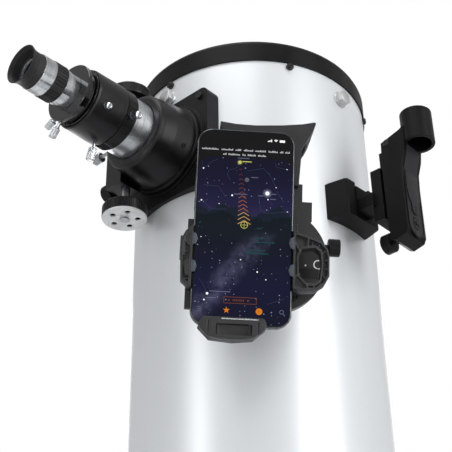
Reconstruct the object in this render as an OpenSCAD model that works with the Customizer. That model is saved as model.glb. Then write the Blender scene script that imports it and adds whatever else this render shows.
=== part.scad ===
// Dobsonian reflector: an optical tube on an alt-azimuth rocker box, with a focuser, a red-dot
// finder and a phone dock. The tube stands upright at rest; +Z is up, -Y is the observer's side.
// "az" is an angle round the tube from the observer's side, positive towards +X.

/* [Tube] */
// Outer radius of the rolled steel tube
tube_r = 117.5; // [110:0.5:125]
// Wall thickness of the tube
tube_wall = 1; // [0.8:0.1:2]
// Height of the tube's lower end above the floor
tube_bottom = 101; // [100:1:110]
// Height of the lower edge of the top end ring
ring_z = 1220; // [1150:5:1300]
// Visible height of each end ring
ring_h = 25; // [20:1:30]
// Screws round each end ring
ring_screw_count = 6; // [4:1:8]

/* [Base] */
// Radius of the round ground board
ground_r = 250; // [245:1:280]
// Thickness of every board
board_t = 16; // [15:1:18]
// Height of the rubber feet
foot_h = 12; // [8:1:15]
// Inner face of each side board from the centre plane
side_x = 128; // [126:1:135]
// Top of the front board
front_top = 392; // [300:1:398]

/* [Altitude bearing] */
// Height of the altitude axis
alt_z = 525; // [520:1:560]
// Radius of the altitude hub where it runs in its cradle
hub_r = 44; // [35:1:50]
// Radius of the tension knob
alt_knob_r = 25; // [18:1:30]

/* [Optics] */
// Radius of the primary mirror
mirror_r = 101.6; // [95:0.1:104]
// Thickness of the primary mirror at its edge
mirror_t = 25; // [15:1:30]
// Focal length of the primary mirror
focal = 1200; // [900:10:1500]
// Radius of the cylinder that the secondary mirror is cut from
secondary_r = 25; // [20:1:30]

/* [Focuser] */
// Direction of the focuser round the tube
foc_az = -40.2; // [-60:0.1:-20]
// Distance of the focuser axis below the top ring
foc_drop = 87; // [80:1:110]
// Outer radius of the sliding drawtube
draw_r = 27.4; // [27:0.1:28]
// Inner radius of the two-inch clamp
clamp_bore_r = 25.45; // [25.42:0.01:25.6]
// Width of the focuser's saddle round the tube
saddle_w = 102; // [96:1:104]
// Radius of the knurled focus knobs
focus_knob_r = 21; // [15:0.5:24]

/* [Phone dock] */
// Direction in which the phone faces
dock_az = 5.4; // [0:0.1:10]
// Distance of the phone's centre below the top ring
dock_drop = 238.6; // [230:0.1:260]
// Distance of the phone's face from the tube axis
dock_r = 198.8; // [195:0.1:205]
// Outward lean of the phone's top edge
dock_tilt = 15.05; // [10:0.05:18]
// Clockwise turn of the phone as the observer sees it
dock_roll = 2.1; // [0:0.1:3]
// Width of the phone
phone_w = 78.1; // [70:0.1:80]
// Height of the phone
phone_h = 160.8; // [145:0.1:165]
// Thickness of the phone
phone_t = 7.8; // [7:0.1:9]

/* [Finder] */
// Direction of the finder body round the tube
finder_az = 50; // [45:0.5:60]
// Direction of the shoe round the tube
shoe_az = 47; // [44:0.5:50]
// Half width of the finder body
finder_half = 14; // [12:0.5:16]

/* [Hidden] */
$fn = 96;

tube_in = tube_r - tube_wall;
ring_r = tube_r + 1.5;
skirt_in = tube_in - 3;
ground_z = foot_h;
rocker_z = foot_h + board_t + 4;
floor_z = rocker_z + board_t;
hub_edge = 20;
spider_z = ring_z - 20.5;
spider_az = foc_az - 1.3;
foc_z = ring_z - foc_drop;
cell_z = tube_bottom + 34;
cell_t = 12;
mirror_z = cell_z + cell_t;
bolt_ring = 88;
shaft_t = -32;
shaft_s = 143.6;
shaft_r = 4.2;
run = 0.05;
phone_u = -26.5;
half_w = phone_w / 2;
half_h = phone_h / 2;
pivot_s = 171;
pivot_z = -105;
black = "#26272a";
board_col = "#1d1e20";
steel = "#c9cbce";

// Frame on the tube's side: X runs round the tube, Y up, Z outwards from the tube axis.
module on_tube(az, z) translate([0, 0, z]) rotate([0, 0, az]) rotate([90, 0, 0]) children();
// Frame of the focuser, with its axis along Z.
module focuser() on_tube(foc_az, foc_z) children();
// Frame of the phone: X to its right, Y into it from its face, Z up its length.
module dock() translate([0, 0, ring_z - dock_drop]) rotate([0, 0, dock_az])
  translate([phone_u, -dock_r, 0]) rotate([dock_tilt, 0, 0]) rotate([0, dock_roll, 0]) children();
// Frame of the finder body, with Y measured from the top ring.
module finder() on_tube(finder_az, ring_z) children();
// Frame of the finder shoe, with Y measured from the top ring.
module shoe() on_tube(shoe_az, ring_z) children();
// The space that the tube fills.
module tube_space(r = tube_r) translate([0, 0, tube_bottom - 60]) cylinder(r = r, h = 1400, $fn = 180);
// Box between two corners.
module box(a, b) translate(a) cube([b[0] - a[0], b[1] - a[1], b[2] - a[2]]);
// Places copies round the Z axis.
module around(n, start = 0) for (i = [0 : n - 1]) rotate([0, 0, start + 360 * i / n]) children();
// Slab on X-Y with round corners.
module slab(w, d, h, r) {
  translate([-w / 2 + r, -d / 2, 0]) cube([w - 2 * r, d, h]);
  translate([-w / 2, -d / 2 + r, 0]) cube([w, d - 2 * r, h]);
  for (x = [-1, 1], y = [-1, 1]) translate([x * (w / 2 - r), y * (d / 2 - r), 0]) cylinder(r = r, h = h);
}
// Extrusion of an outline drawn in depth and height, between two places across.
module side_profile(points, x0, x1) translate([x0, 0, 0]) rotate([90, 0, 90])
  linear_extrude(x1 - x0) polygon(points);
// Extrusion of an outline drawn across and up, between two depths.
module face_profile(points, y0, y1) translate([0, y1, 0]) rotate([90, 0, 0])
  linear_extrude(y1 - y0) polygon(points);
// Cylinder along X between two places.
module rod_x(r, x0, x1) translate([x0, 0, 0]) rotate([0, 90, 0]) cylinder(r = r, h = x1 - x0);
// Ring of knurled or plain body along Z.
module turned(points) rotate_extrude($fn = 120) polygon(points);
// Thumbscrew along X from its tip to its head, for use in the focuser's frame.
module thumbscrew(angle, s, tip, shoulder, end, head_r) translate([0, 0, s]) rotate([0, 0, angle]) {
  rod_x(1.5, tip, shoulder + 0.5);
  rod_x(head_r, shoulder, end);
}

// ---- Base ----
module rubber_feet() color("#202020") around(3, 90) translate([ground_r - 32, 0, 0])
  cylinder(r = 22, h = foot_h);

module ground_board() color(board_col) difference() {
  translate([0, 0, ground_z]) cylinder(r = ground_r, h = board_t, $fn = 180);
  translate([0, 0, ground_z - 1]) cylinder(r = 6, h = board_t + 2);
  translate([0, 0, ground_z - 1]) cylinder(r = 13, h = 7);
}

module azimuth_pads() color("#e8e8e4") around(3, 30)
  translate([185, -18, ground_z + board_t]) cube([36, 36, 3.7]);

module pivot_bolt() color(steel) {
  translate([0, 0, ground_z + 0.5]) cylinder(r = 11, h = 5.5, $fn = 6);
  translate([0, 0, ground_z + 5.5]) cylinder(r = 6, h = floor_z - ground_z + 4.5);
  translate([0, 0, floor_z + 0.3]) cylinder(r = 15, h = 2);
  translate([0, 0, floor_z + 2.3]) cylinder(r = 10.5, h = 9, $fn = 6);
}

module rocker_bottom() color(board_col) difference() {
  translate([0, 0, rocker_z]) cylinder(r = ground_r - 14, h = board_t, $fn = 180);
  translate([0, 0, rocker_z - 1]) cylinder(r = 6 + run, h = board_t + 2);
}

side_outline = [
  [-150, floor_z], [150, floor_z], [150, 385], [144, 405], [96, 500], [84, 530], [72, 545],
  [-72, 545], [-84, 530], [-94, 490], [-142, 190], [-150, 150]];

module side_boards() color(board_col) for (side = [-1, 1]) difference() {
  side_profile(side_outline, side > 0 ? side_x : -side_x - board_t, side > 0 ? side_x + board_t : -side_x);
  translate([0, 0, alt_z]) rod_x(hub_r + 3.3, -200, 200);
  box([-200, -hub_r - 3.3, alt_z], [200, hub_r + 3.3, alt_z + 100]);
}

module front_board() color(board_col) difference() {
  box([-side_x, 134, floor_z], [side_x, 150, front_top]);
  translate([0, 160, front_top - 42]) rotate([90, 0, 0]) union() {
    translate([-38, -14, 0]) cube([76, 28, 40]);
    for (x = [-38, 38]) translate([x, 0, 0]) cylinder(r = 14, h = 40);
  }
}

// Low-friction pads that the altitude hubs turn on, four in all.
module altitude_pads() color("#e8e8e4") for (side = [-1, 1], a = [-130, -50]) intersection() {
  translate([0, 0, alt_z]) difference() {
    rod_x(hub_r + 3.3, side > 0 ? side_x : -side_x - board_t, side > 0 ? side_x + board_t : -side_x);
    rod_x(hub_r + 0.3, -200, 200);
  }
  translate([0, 0, alt_z]) rotate([a, 0, 0]) translate([-200, 10, -9]) cube([400, 60, 18]);
}

module base_screws() color(steel) {
  for (side = [-1, 1], y = [-110, 0, 110]) translate([side * (side_x + board_t / 2), y, rocker_z - 2])
    cylinder(r = 4, h = 2);
  for (side = [-1, 1], z = [100, 220, 340]) translate([0, 142, z])
    rod_x(4, side > 0 ? side_x + board_t : -side_x - board_t - 1.6,
      side > 0 ? side_x + board_t + 1.6 : -side_x - board_t);
}

rack_holes = [[-44, 16.2], [0, 25.7], [44, 16.2]];

module eyepiece_rack() color(black) difference() {
  union() {
    box([-side_x - board_t - 92, -70, 398], [-side_x - board_t, 70, 402]);
    box([-side_x - board_t - 3, -70, 370], [-side_x - board_t, 70, 402]);
    for (y = [-68, 65]) translate([0, y, 0]) rotate([90, 0, 0]) mirror([0, 0, 1]) linear_extrude(3)
      polygon([[-side_x - board_t - 88, 398], [-side_x - board_t, 398], [-side_x - board_t, 372]]);
  }
  for (h = rack_holes) translate([-side_x - board_t - 62, h[0], 380]) cylinder(r = h[1], h = 40);
}

// ---- Tube and end rings ----
module tube() color("#c8ccd0") difference() {
  translate([0, 0, tube_bottom]) cylinder(r = tube_r, h = ring_z + 20 - tube_bottom, $fn = 180);
  translate([0, 0, tube_bottom - 1]) cylinder(r = tube_in, h = ring_z + 30, $fn = 180);
  focuser() translate([0, 0, 80]) cylinder(r = 31, h = 60);
  ring_screw_shanks();
  around(4, spider_az) translate([0, 0, spider_z]) rotate([90, 0, 0]) cylinder(r = 3, h = 130);
}

// Half section of an end ring, with its outer wall from z = 0 up to ring_h.
ring_section = [
  [skirt_in, -10], [tube_in, -10], [tube_in, 20], [tube_r, 20], [tube_r, 0], [ring_r, 0],
  [ring_r, ring_h - 4], [ring_r - 1.2, ring_h - 1], [ring_r - 4, ring_h], [110.5, ring_h],
  [109.5, ring_h - 1], [109.5, 12], [skirt_in, 8]];

module ring_screw_shanks() for (z = [tube_bottom + ring_h, ring_z - 4.5])
  around(ring_screw_count, 19.6) translate([0, 0, z]) rotate([90, 0, 0])
    translate([0, 0, skirt_in]) cylinder(r = 1.8, h = 10);

module front_ring() color("#2b2c2e") difference() {
  translate([0, 0, ring_z]) rotate_extrude($fn = 180) polygon(ring_section);
  ring_screw_shanks();
}

module rear_ring() color("#2b2c2e") difference() {
  translate([0, 0, tube_bottom]) rotate_extrude($fn = 180) polygon([
    [78, -6], [ring_r - 3, -6], [ring_r, -3], [ring_r, ring_h - 4.5], [tube_r, ring_h - 4.5], [tube_r, 0],
    [tube_in, 0], [tube_in, ring_h + 6], [skirt_in, ring_h + 6], [skirt_in, 0], [78, 0]]);
  ring_screw_shanks();
  around(3, 90) translate([bolt_ring, 0, tube_bottom - 8]) cylinder(r = 3 + run, h = 12);
  around(3, 125) translate([bolt_ring, 0, tube_bottom - 8]) cylinder(r = 2.5, h = 12);
}

module ring_screws() color("#1a1a1a") difference() {
  for (z = [tube_bottom + ring_h, ring_z - 4.5]) around(ring_screw_count, 19.6)
    translate([0, 0, z]) rotate([90, 0, 0]) {
      translate([0, 0, skirt_in]) cylinder(r = 1.8, h = tube_r - skirt_in + 1);
      difference() {
        translate([0, 0, tube_r - 1]) cylinder(r = 3.6, h = 3.6);
        rotate([90, 0, 0]) cylinder(r = tube_r, h = 20, center = true, $fn = 180);
      }
      difference() {
        translate([0, 0, tube_r + 1]) cylinder(r = 2.4, h = 2.4);
        translate([0, 0, tube_r + 1.6]) cylinder(r = 1, h = 4);
      }
    }
}

// ---- Altitude bearing ----
module altitude_hubs() color(black) for (side = [-1, 1]) difference() {
  translate([0, 0, alt_z]) {
    rod_x(56, side > 0 ? 90 : 0 - side_x + 1, side > 0 ? side_x - 1 : -90);
    rod_x(hub_r, side > 0 ? 100 : -side_x - board_t - 3, side > 0 ? side_x + board_t + 3 : -100);
    rod_x(hub_r + 9, side > 0 ? side_x + board_t + 1 : -side_x - board_t - 6,
      side > 0 ? side_x + board_t + 6 : -side_x - board_t - 1);
  }
  tube_space();
  translate([0, 0, alt_z]) rod_x(5 + run, side > 0 ? side_x - 8 : -200, side > 0 ? 200 : 8 - side_x);
}

module altitude_knob(side) color("#303134") translate([0, 0, alt_z]) mirror([side < 0 ? 1 : 0, 0, 0])
  translate([side_x + board_t + 6.4, 0, 0]) rotate([0, 90, 0]) {
    translate([0, 0, -29]) cylinder(r = 5, h = 32);
    cylinder(r = 15, h = 8);
    difference() {
      translate([0, 0, 6]) cylinder(r = alt_knob_r, h = hub_edge);
      around(8) translate([alt_knob_r + 3, 0, 5]) cylinder(r = 6, h = hub_edge + 2);
      translate([0, 0, hub_edge + 3]) cylinder(r = 15, h = 4);
    }
  }
module altitude_knob_left() altitude_knob(-1);
module altitude_knob_right() altitude_knob(1);

// ---- Primary mirror and its cell ----
module mirror_cell() color("#3a3b3d") difference() {
  translate([0, 0, cell_z]) difference() {
    cylinder(r = 108, h = cell_t, $fn = 120);
    translate([0, 0, -1]) cylinder(r = 40, h = cell_t + 2);
    around(3, 30) translate([70, 0, -1]) cylinder(r = 20, h = cell_t + 2);
  }
  around(3, 90) translate([bolt_ring, 0, cell_z - 1]) cylinder(r = 3 + run, h = cell_t + 2);
}

module mirror_clips() color(black) around(3, 150) difference() {
  translate([96, -8, mirror_z]) cube([12, 16, mirror_t + 3.5]);
  translate([0, 0, mirror_z - 1]) cylinder(r = mirror_r, h = mirror_t + 1.3, $fn = 180);
}

// Rings of the parabola z = r^2 / 4f from the centre to the rim.
bowl = [for (i = [0 : 12]) let (r = mirror_r * i / 12)
  [r, mirror_t - (pow(mirror_r, 2) - pow(r, 2)) / (4 * focal)]];

module primary_mirror() color("#d8e4ec") translate([0, 0, mirror_z]) rotate_extrude($fn = 180)
  polygon(concat([[0, 0]], [[mirror_r, 0]], [for (i = [12 : -1 : 0]) bowl[i]]));

module collimation_knob(n) color(black) rotate([0, 0, 90 + 120 * n]) translate([bolt_ring, 0, 0]) {
  translate([0, 0, tube_bottom - 20]) cylinder(r = 3, h = cell_z + cell_t - 2 - tube_bottom + 20);
  difference() {
    translate([0, 0, tube_bottom - 26]) cylinder(r = 11, h = 18);
    around(6) translate([12.5, 0, tube_bottom - 30]) cylinder(r = 3, h = 30);
  }
}
module collimation_knob_1() collimation_knob(0);
module collimation_knob_2() collimation_knob(1);
module collimation_knob_3() collimation_knob(2);

// Each spring is a sleeve with one rounded rib a turn.
module collimation_springs() color(steel) around(3, 90) translate([bolt_ring, 0, tube_bottom])
  rotate_extrude() {
    translate([5.2, 0]) square([1, cell_z - tube_bottom]);
    for (i = [0 : 7]) translate([6, 2 + i * (cell_z - tube_bottom - 4) / 7]) circle(r = 1.4, $fn = 24);
  }

// ---- Spider and secondary mirror ----
module spider() color(black) {
  difference() {
    translate([0, 0, spider_z - 18]) cylinder(r = 19, h = 30);
    translate([0, 0, spider_z - 20]) cylinder(r = 3, h = 40);
    around(3, 60) translate([13, 0, spider_z - 20]) cylinder(r = 1.5, h = 40);
  }
  around(4, spider_az) translate([0, 0, spider_z]) {
    difference() {
      box([-0.6, -tube_in, -10], [0.6, -18.8, 10]);
      translate([0, 0, -spider_z]) difference() {
        tube_space(200);
        tube_space(tube_in);
      }
    }
    rotate([90, 0, 0]) translate([0, 0, 100]) cylinder(r = 3, h = 23);
  }
}

module spider_nuts() color("#d4d7da") around(4, spider_az) translate([0, 0, spider_z]) difference() {
  rotate([90, 0, 0]) translate([0, 0, tube_r - 2]) difference() {
    union() {
      cylinder(r = 8.2, h = 9.5, $fn = 6);
      cylinder(r = 8.6, h = 3.2);
    }
    cylinder(r = 3, h = 7.5);
  }
  translate([0, 0, -spider_z]) tube_space();
}

// Everything on one side of the plane that the secondary mirror lies in, moved back by a distance.
module behind_mirror(back, depth) rotate([0, 0, foc_az]) translate([0, 0, foc_z]) rotate([-45, 0, 0])
  translate([-60, -60, back]) cube([120, 120, depth]);

module secondary_holder() color(black) difference() {
  intersection() {
    translate([0, 0, foc_z - 40]) cylinder(r = secondary_r + 1.5, h = 72);
    behind_mirror(8, 200);
  }
  translate([0, 0, foc_z + 22]) cylinder(r = 3, h = 20);
}

module secondary_mirror() color("#d8e4ec") intersection() {
  translate([0, 0, foc_z - 60]) cylinder(r = secondary_r, h = 120);
  behind_mirror(0, 8);
}

// Locking screws of the primary cell, and the bolt and three screws of the secondary holder.
module optics_screws() color(steel) {
  around(3, 125) translate([bolt_ring, 0, 0]) {
    translate([0, 0, tube_bottom - 16]) cylinder(r = 2.5, h = cell_z - tube_bottom + 16);
    translate([0, 0, tube_bottom - 20]) cylinder(r = 6, h = 12);
  }
  translate([0, 0, foc_z + 22]) cylinder(r = 3, h = spider_z + 16 - foc_z - 22);
  translate([0, 0, spider_z + 12]) cylinder(r = 7, h = 5, $fn = 6);
  around(3, 60) translate([13, 0, 0]) {
    translate([0, 0, foc_z + 32]) cylinder(r = 1.5, h = spider_z + 12 - foc_z - 32);
    translate([0, 0, spider_z + 12]) cylinder(r = 3, h = 3.5);
  }
}

// ---- Focuser, along its own axis from the tube outwards ----
module focuser_saddle() color(black) difference() {
  focuser() union() {
    translate([0, 0, 98]) slab(saddle_w, 107, 23, 9);
    translate([0, 0, 120]) cylinder(r = 46.8, h = 4);
  }
  tube_space();
  focuser() translate([0, 0, 90]) cylinder(r = 30, h = 40);
  focuser() saddle_screw_holes();
}

module saddle_screw_holes() for (x = [-41, 41], y = [-45, 45]) translate([x, y, 113]) cylinder(r = 2, h = 10);

module focuser_housing() color(black) focuser() difference() {
  union() {
    turned([
      [29.5, 124], [43, 124], [43.8, 125], [43.8, 127.5], [40.6, 128.2], [40.6, 129.6], [41.6, 130.4],
      [39.6, 148], [37.6, 160], [37.2, 163.4], [36.2, 165.4], [34.6, 166.2], [28.2, 166.2], [28.2, 162],
      [29.5, 161]]);
    difference() {
      box([-46, -38, 131], [-26, 38, 156]);
      translate([0, 0, 120]) cylinder(r = 29.5, h = 60);
    }
  }
  translate([shaft_t, 0, shaft_s]) rotate([90, 0, 0]) cylinder(r = shaft_r + run, h = 200, center = true);
  translate([0, -33, shaft_s]) rod_x(2 + run, -50, -36.6);
  translate([0, 9, 150.5]) rod_x(2 + run, -50, -38);
}

module focuser_screws() color("#8a8c90") focuser() {
  for (x = [-41, 41], y = [-45, 45]) translate([x, y, 113]) {
    cylinder(r = 2, h = 8.2);
    translate([0, 0, 8]) cylinder(r = 3.4, h = 2.2);
  }
  for (a = [-27, 63]) rotate([0, 0, a]) translate([0, 0, 137]) difference() {
    rod_x(2.2, 39.4, 41.8);
    rod_x(1.1, 41, 43);
    translate([0, 0, -137]) turned([[0, 100], [0, 200], [20, 200], [39.6, 148], [41.6, 130.4], [41.6, 100]]);
  }
}

module drawtube() color("#c4c7ca") focuser() difference() {
  translate([0, 0, 97]) cylinder(r = draw_r, h = 89);
  translate([0, 0, 90]) cylinder(r = clamp_bore_r, h = 110);
}

module eyepiece_clamp() color(black) focuser() difference() {
  turned([
    [clamp_bore_r, 186], [28.2, 186], [28.6, 187], [28.6, 198], [29.4, 199], [29.4, 204], [29, 215],
    [28.8, 230], [28.2, 231.7], [clamp_bore_r, 231.7]]);
  translate([0, 0, 203]) rotate([0, 0, 252]) rod_x(1.5 + run, 20, 40);
  translate([0, 0, 221]) rotate([0, 0, -31]) rod_x(1.5 + run, 20, 40);
  translate([0, 0, 194]) rotate([0, 0, -24]) rod_x(1.5 + run, 20, 40);
}

module adapter() color("#1b1c1e") focuser() difference() {
  turned([
    [15.93, 206], [25.4, 206], [25.4, 231.8], [27, 232], [27, 233.2], [23.4, 234], [23.4, 239.2],
    [27.2, 240], [27.2, 242.8], [26.7, 243.3], [15.93, 243.3]]);
  for (a = [206.6, 229.2]) translate([0, 0, 236.6]) rotate([0, 0, a]) rod_x(1.5 + run, 10, 30);
}
module adapter_screw_1() color(steel) focuser() thumbscrew(206.6, 236.6, 16.4, 30, 39, 3.3);
module adapter_screw_2() color(steel) focuser() thumbscrew(229.2, 236.6, 16.4, 32, 42, 3.3);
module clamp_screw_1() color(steel) focuser() thumbscrew(252, 203, 25.8, 35, 47, 3.8);
module clamp_screw_2() color(steel) focuser() thumbscrew(-31, 221, 25.8, 29.6, 35, 3);
module clamp_screw_3() color(steel) focuser() thumbscrew(-24, 194, 25.8, 33, 42, 3.6);

// ---- Eyepiece ----
module eyepiece_body() color("#cfd1d3") focuser() turned([
  [13.6, 212], [15.875, 212], [15.875, 243.3], [16.4, 243.6], [16.4, 256.8], [14.6, 256.8],
  [14.6, 269.6], [16.9, 269.6], [16.9, 281.7], [13.4, 281.7], [13.4, 286], [11.6, 286], [11.6, 250],
  [13.6, 248]]);

module eyepiece_grip() color("#202124") focuser() turned([
  [14.6, 256.8], [17, 256.8], [17.4, 257.3], [17.4, 269.1], [17, 269.6], [14.6, 269.6]]);

module eyecup() color("#191a1b") focuser() turned([
  [13.4, 281.7], [16.2, 281.7], [16, 288], [16.6, 292], [18.2, 295.6], [17.4, 296], [15.4, 292.6],
  [14.4, 288], [14.4, 286.6], [13.4, 286]]);

module eyepiece_lenses() color("#33404c") focuser() {
  translate([0, 0, 281]) cylinder(r = 11.6, h = 4);
  translate([0, 0, 228]) cylinder(r = 13.6, h = 5);
}

// ---- Focus drive ----
module focus_shaft() color(steel) focuser() translate([shaft_t, 0, shaft_s]) rotate([90, 0, 0]) {
  translate([0, 0, -76]) cylinder(r = shaft_r, h = 148);
  translate([0, 0, 50.3]) cylinder(r = 7, h = 7.5);
  translate([0, 0, -61.8]) cylinder(r = 7, h = 11.5);
}

module focus_knob(y0, out) translate([shaft_t, y0, shaft_s]) rotate([out > 0 ? -90 : 90, 0, 0]) difference() {
  turned([
    [shaft_r, 0], [focus_knob_r - 2, 0], [focus_knob_r, 1.5], [focus_knob_r, 11.2],
    [focus_knob_r - 1.2, 12.7], [focus_knob_r - 2.6, 12.7], [focus_knob_r - 2.6, 12], [shaft_r, 12]]);
  around(6) translate([13, 0, 9]) cylinder(r = 2.6, h = 6);
}
module focus_knobs() color("#2a2b2d") focuser() {
  focus_knob(-58.1, -1);
  focus_knob(62.3, 1);
}

module tension_knob() color(black) focuser() translate([0, -33, shaft_s]) {
  rod_x(2, -49, -37);
  rod_x(9, -58, -47.5);
}
module lock_screw() color("#7d8084") focuser() translate([0, 9, 150.5]) {
  rod_x(2, -61, -38.5);
  rod_x(5, -70, -60);
}

// ---- Phone dock ----
disc_u = 26;
disc_v = -20;
disc_r = 43;
hood_outline = [
  [-7, 40], [44, 40], [46, 72], [55, 88], [56.9, 93], [57.2, 94.5], [56.6, 95.5], [55.2, 95.4],
  [46, 93.3], [30, 91.4], [8, 90], [-8, 90.4],
  [-21, 92], [-18, 84], [-9, 70]];

module dock_base() color("#2f3133") difference() {
  union() {
    dock() {
      translate([disc_u, 30, disc_v]) rotate([90, 0, 0]) cylinder(r = disc_r, h = 10);
      box([-8, 20, 10], [48, 30, 44]);
      box([-4, 20, 13], [56, 30, 29]);
      face_profile(hood_outline, 12, 60);
      for (u = [-2, 34]) side_profile([[28, -42], [110, -30], [110, 60], [60, 60], [28, 50]], u, u + 6);
      side_profile([[50, 62], [110, 30], [110, 36], [50, 68]], 0, 38);
    }
    intersection() {
      dock() box([-10, 10, -34], [48, 120, 58]);
      tube_space(tube_r + 5);
    }
  }
  tube_space();
  dock() {
    box([-5, 16, 46], [42, 56, 110]);
    box([-14, 16, 74], [52, 56, 110]);
    box([4, 8, 54], [38, 20, 80]);
    translate([0, 25, -7]) rod_x(2.5 + run, 38, 90);
    box([14, 22, -46], [38, 40, 2]);
  }
}

// Flat mirror at 45 degrees that turns the phone camera's view up to the sky.
module dock_mirror() color("#cfdce4") dock() translate([0, 18, 50]) rotate([45, 0, 0])
  translate([-4, 0, -2]) cube([45, 50, 2]);

module dock_carriage() color("#35373a") dock() difference() {
  union() {
    box([-36, phone_t, -74], [36, 13.8, 20]);
    box([-43.4, phone_t + 0.3, -66], [-36, 13.8, 6]);
    box([-8, 13.8, -50], [44, 20, 8]);
  }
  box([-50, 9.8, -23.2], [60, 13.8, -14.8]);
  box([-50, 9.8, -45.2], [60, 13.8, -36.8]);
  box([-14.2, 9.8, -80], [8.2, 13.8, -49.8]);
  box([12, 0, -48], [32, 30, -2]);
}

module dock_knob() color("#232426") dock() translate([0, 25, -7]) {
  rod_x(2.5, 38.5, 71);
  difference() {
    rod_x(7.2, 70, 79.5);
    for (i = [0 : 11]) rotate([30 * i, 0, 0]) translate([0, 7.6, 0]) rod_x(0.9, 71, 90);
  }
}

// Soft pads that reach over the phone's edge.
module pads(side) for (v = [-13, -35]) face_profile([
  [side * (half_w + 3), v - 6], [side * (half_w - 3), v - 4.5], [side * (half_w - 4.5), v],
  [side * (half_w - 3), v + 4.5], [side * (half_w + 3), v + 6]], -3.4, -0.1);

module clamp_arm_left() color("#35373a") dock() {
  face_profile([
    [-half_w, -1], [-41, -3], [-45, -7], [-49, -15], [-47.6, -46], [-41, -52], [-half_w, -52]], -3.4, phone_t);
  box([-49, -3, -27], [-44.9, 13.6, -11]);
  box([-46, 10, -23], [-4, 13.6, -15]);
  pads(-1);
}

module clamp_arm_right() color("#35373a") dock() {
  difference() {
    face_profile([
      [half_w, -1], [42, -4], [52, -7], [61, -10.5], [66, -16], [67.6, -23], [67.6, -38], [64, -45],
      [57, -50], [45, -51.5], [half_w, -49]], -3.4, phone_t);
    face_profile([
      [46, -17], [56, -15.6], [60.4, -19], [61.4, -29], [60, -41], [56, -44.6], [49, -44], [43.6, -38],
      [43, -24]], -8, 9);
  }
  box([half_w, 7, -49], [43, 13.6, -33]);
  box([4, 10, -45], [42, 13.6, -37]);
  pads(1);
}

// A front lip, a shelf under the phone and a slide behind it.
module phone_tray() color("#35373a") dock() {
  difference() {
    face_profile([
      [-28, -74.8], [18, -74.8], [20, -80.6], [10, -90], [-6, -92], [-24, -90.4], [-33, -80.6]], -9, -0.8);
    box([-20, -12, -88], [8, -5, -80]);
  }
  face_profile([[-33, -81.2], [20, -81.2], [10, -90], [-6, -92], [-24, -90.4]], -0.78, 9.96);
  box([-14, 9.98, -88], [8, 13.6, -50]);
}

module phone() color("#15161c") dock() difference() {
  union() {
    translate([0, phone_t, 0]) rotate([90, 0, 0]) slab(phone_w, phone_h, phone_t, 12);
    box([9, phone_t - 1, 44], [34, 10, 72]);
  }
  box([-10, 2, -90], [10, 4, -78]);
}

// ---- Finder ----
shoe_low = -170;
shoe_high = -133;
hoop_s = 196.5;
hoop_r = 14.5;

module finder_shoe() color(black) difference() {
  shoe() difference() {
    translate([0, shoe_high, 0]) rotate([90, 0, 0]) linear_extrude(shoe_high - shoe_low) polygon([
      [-27, 100], [-26, 118], [-22, 134], [-20, 136], [20, 136], [22, 134], [26, 118], [27, 100]]);
    box([-9.5, shoe_low + 5, 124], [9.5, shoe_high + 5, 140]);
    translate([0, -154, 130]) rod_x(2, 9, 20);
  }
  tube_space();
}

module finder_stem() color(black) {
  shoe() {
    box([-9.2, shoe_low + 5.3, 124.3], [9.2, shoe_high - 4, 137]);
    box([-9.2, shoe_low + 5.3, 136.3], [9.2, -152, 154]);
  }
  finder() {
    difference() {
      box([-finder_half, -181, 151], [finder_half, -128, 161.5]);
      for (y = [-168, -140]) translate([6, y, 150]) cylinder(r = 3, h = 20);
    }
    box([-4, -150, 156], [4, pivot_z, 174]);
    translate([0, pivot_z, pivot_s]) difference() {
      rod_x(6, -4, 4);
      rod_x(1.6 + run, -5, 5);
    }
  }
}

// Outline of the finder body in distance from the tube axis and height from the top ring.
body_outline = [
  [165.4, -103], [164.2, -130], [164.2, -192], [166, -205], [170, -207], [181, -204.5],
  [183.4, -200], [183.4, -150], [184.2, -134], [188, -122], [190, -108], [190, -95], [185.6, -97.5]];

module finder_body() color("#222326") finder() difference() {
  union() {
    rotate([0, -90, 0]) translate([0, 0, -finder_half]) linear_extrude(2 * finder_half) polygon(body_outline);
    translate([0, -79, hoop_s]) rotate([90, 0, 0]) cylinder(r = hoop_r, h = 33);
  }
  translate([0, -70, hoop_s]) rotate([90, 0, 0]) cylinder(r = hoop_r - 3, h = 70);
  box([-4.4, -152, 160], [4.4, pivot_z + 7, 179]);
  translate([0, -199, 0]) cylinder(r = 2 + run, h = 172);
  translate([0, pivot_z, pivot_s]) rod_x(1.6, -20, 20);
}

module finder_knob() color("#1c1c1e") finder() translate([0, -199, 0]) {
  translate([0, 0, 158]) cylinder(r = 2, h = 13.5);
  difference() {
    translate([0, 0, 150]) cylinder(r = 9, h = 9);
    around(10) translate([9.6, 0, 149]) cylinder(r = 1.2, h = 11);
  }
}

rubber_feet();
ground_board();
azimuth_pads();
pivot_bolt();
rocker_bottom();
side_boards();
front_board();
altitude_pads();
base_screws();
eyepiece_rack();
tube();
front_ring();
rear_ring();
ring_screws();
altitude_hubs();
altitude_knob_left();
altitude_knob_right();
mirror_cell();
mirror_clips();
primary_mirror();
collimation_knob_1();
collimation_knob_2();
collimation_knob_3();
optics_screws();
collimation_springs();
spider();
spider_nuts();
secondary_holder();
secondary_mirror();
focuser_saddle();
focuser_housing();
focuser_screws();
drawtube();
eyepiece_clamp();
adapter();
adapter_screw_1();
adapter_screw_2();
clamp_screw_1();
clamp_screw_2();
clamp_screw_3();
eyepiece_body();
eyepiece_grip();
eyecup();
eyepiece_lenses();
focus_shaft();
focus_knobs();
tension_knob();
lock_screw();
dock_base();
dock_mirror();
dock_carriage();
dock_knob();
clamp_arm_left();
clamp_arm_right();
phone_tray();
phone();
finder_shoe();
finder_stem();
finder_body();
finder_knob();
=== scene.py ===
import math
import random

import bpy
from mathutils import Matrix, Vector


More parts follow.
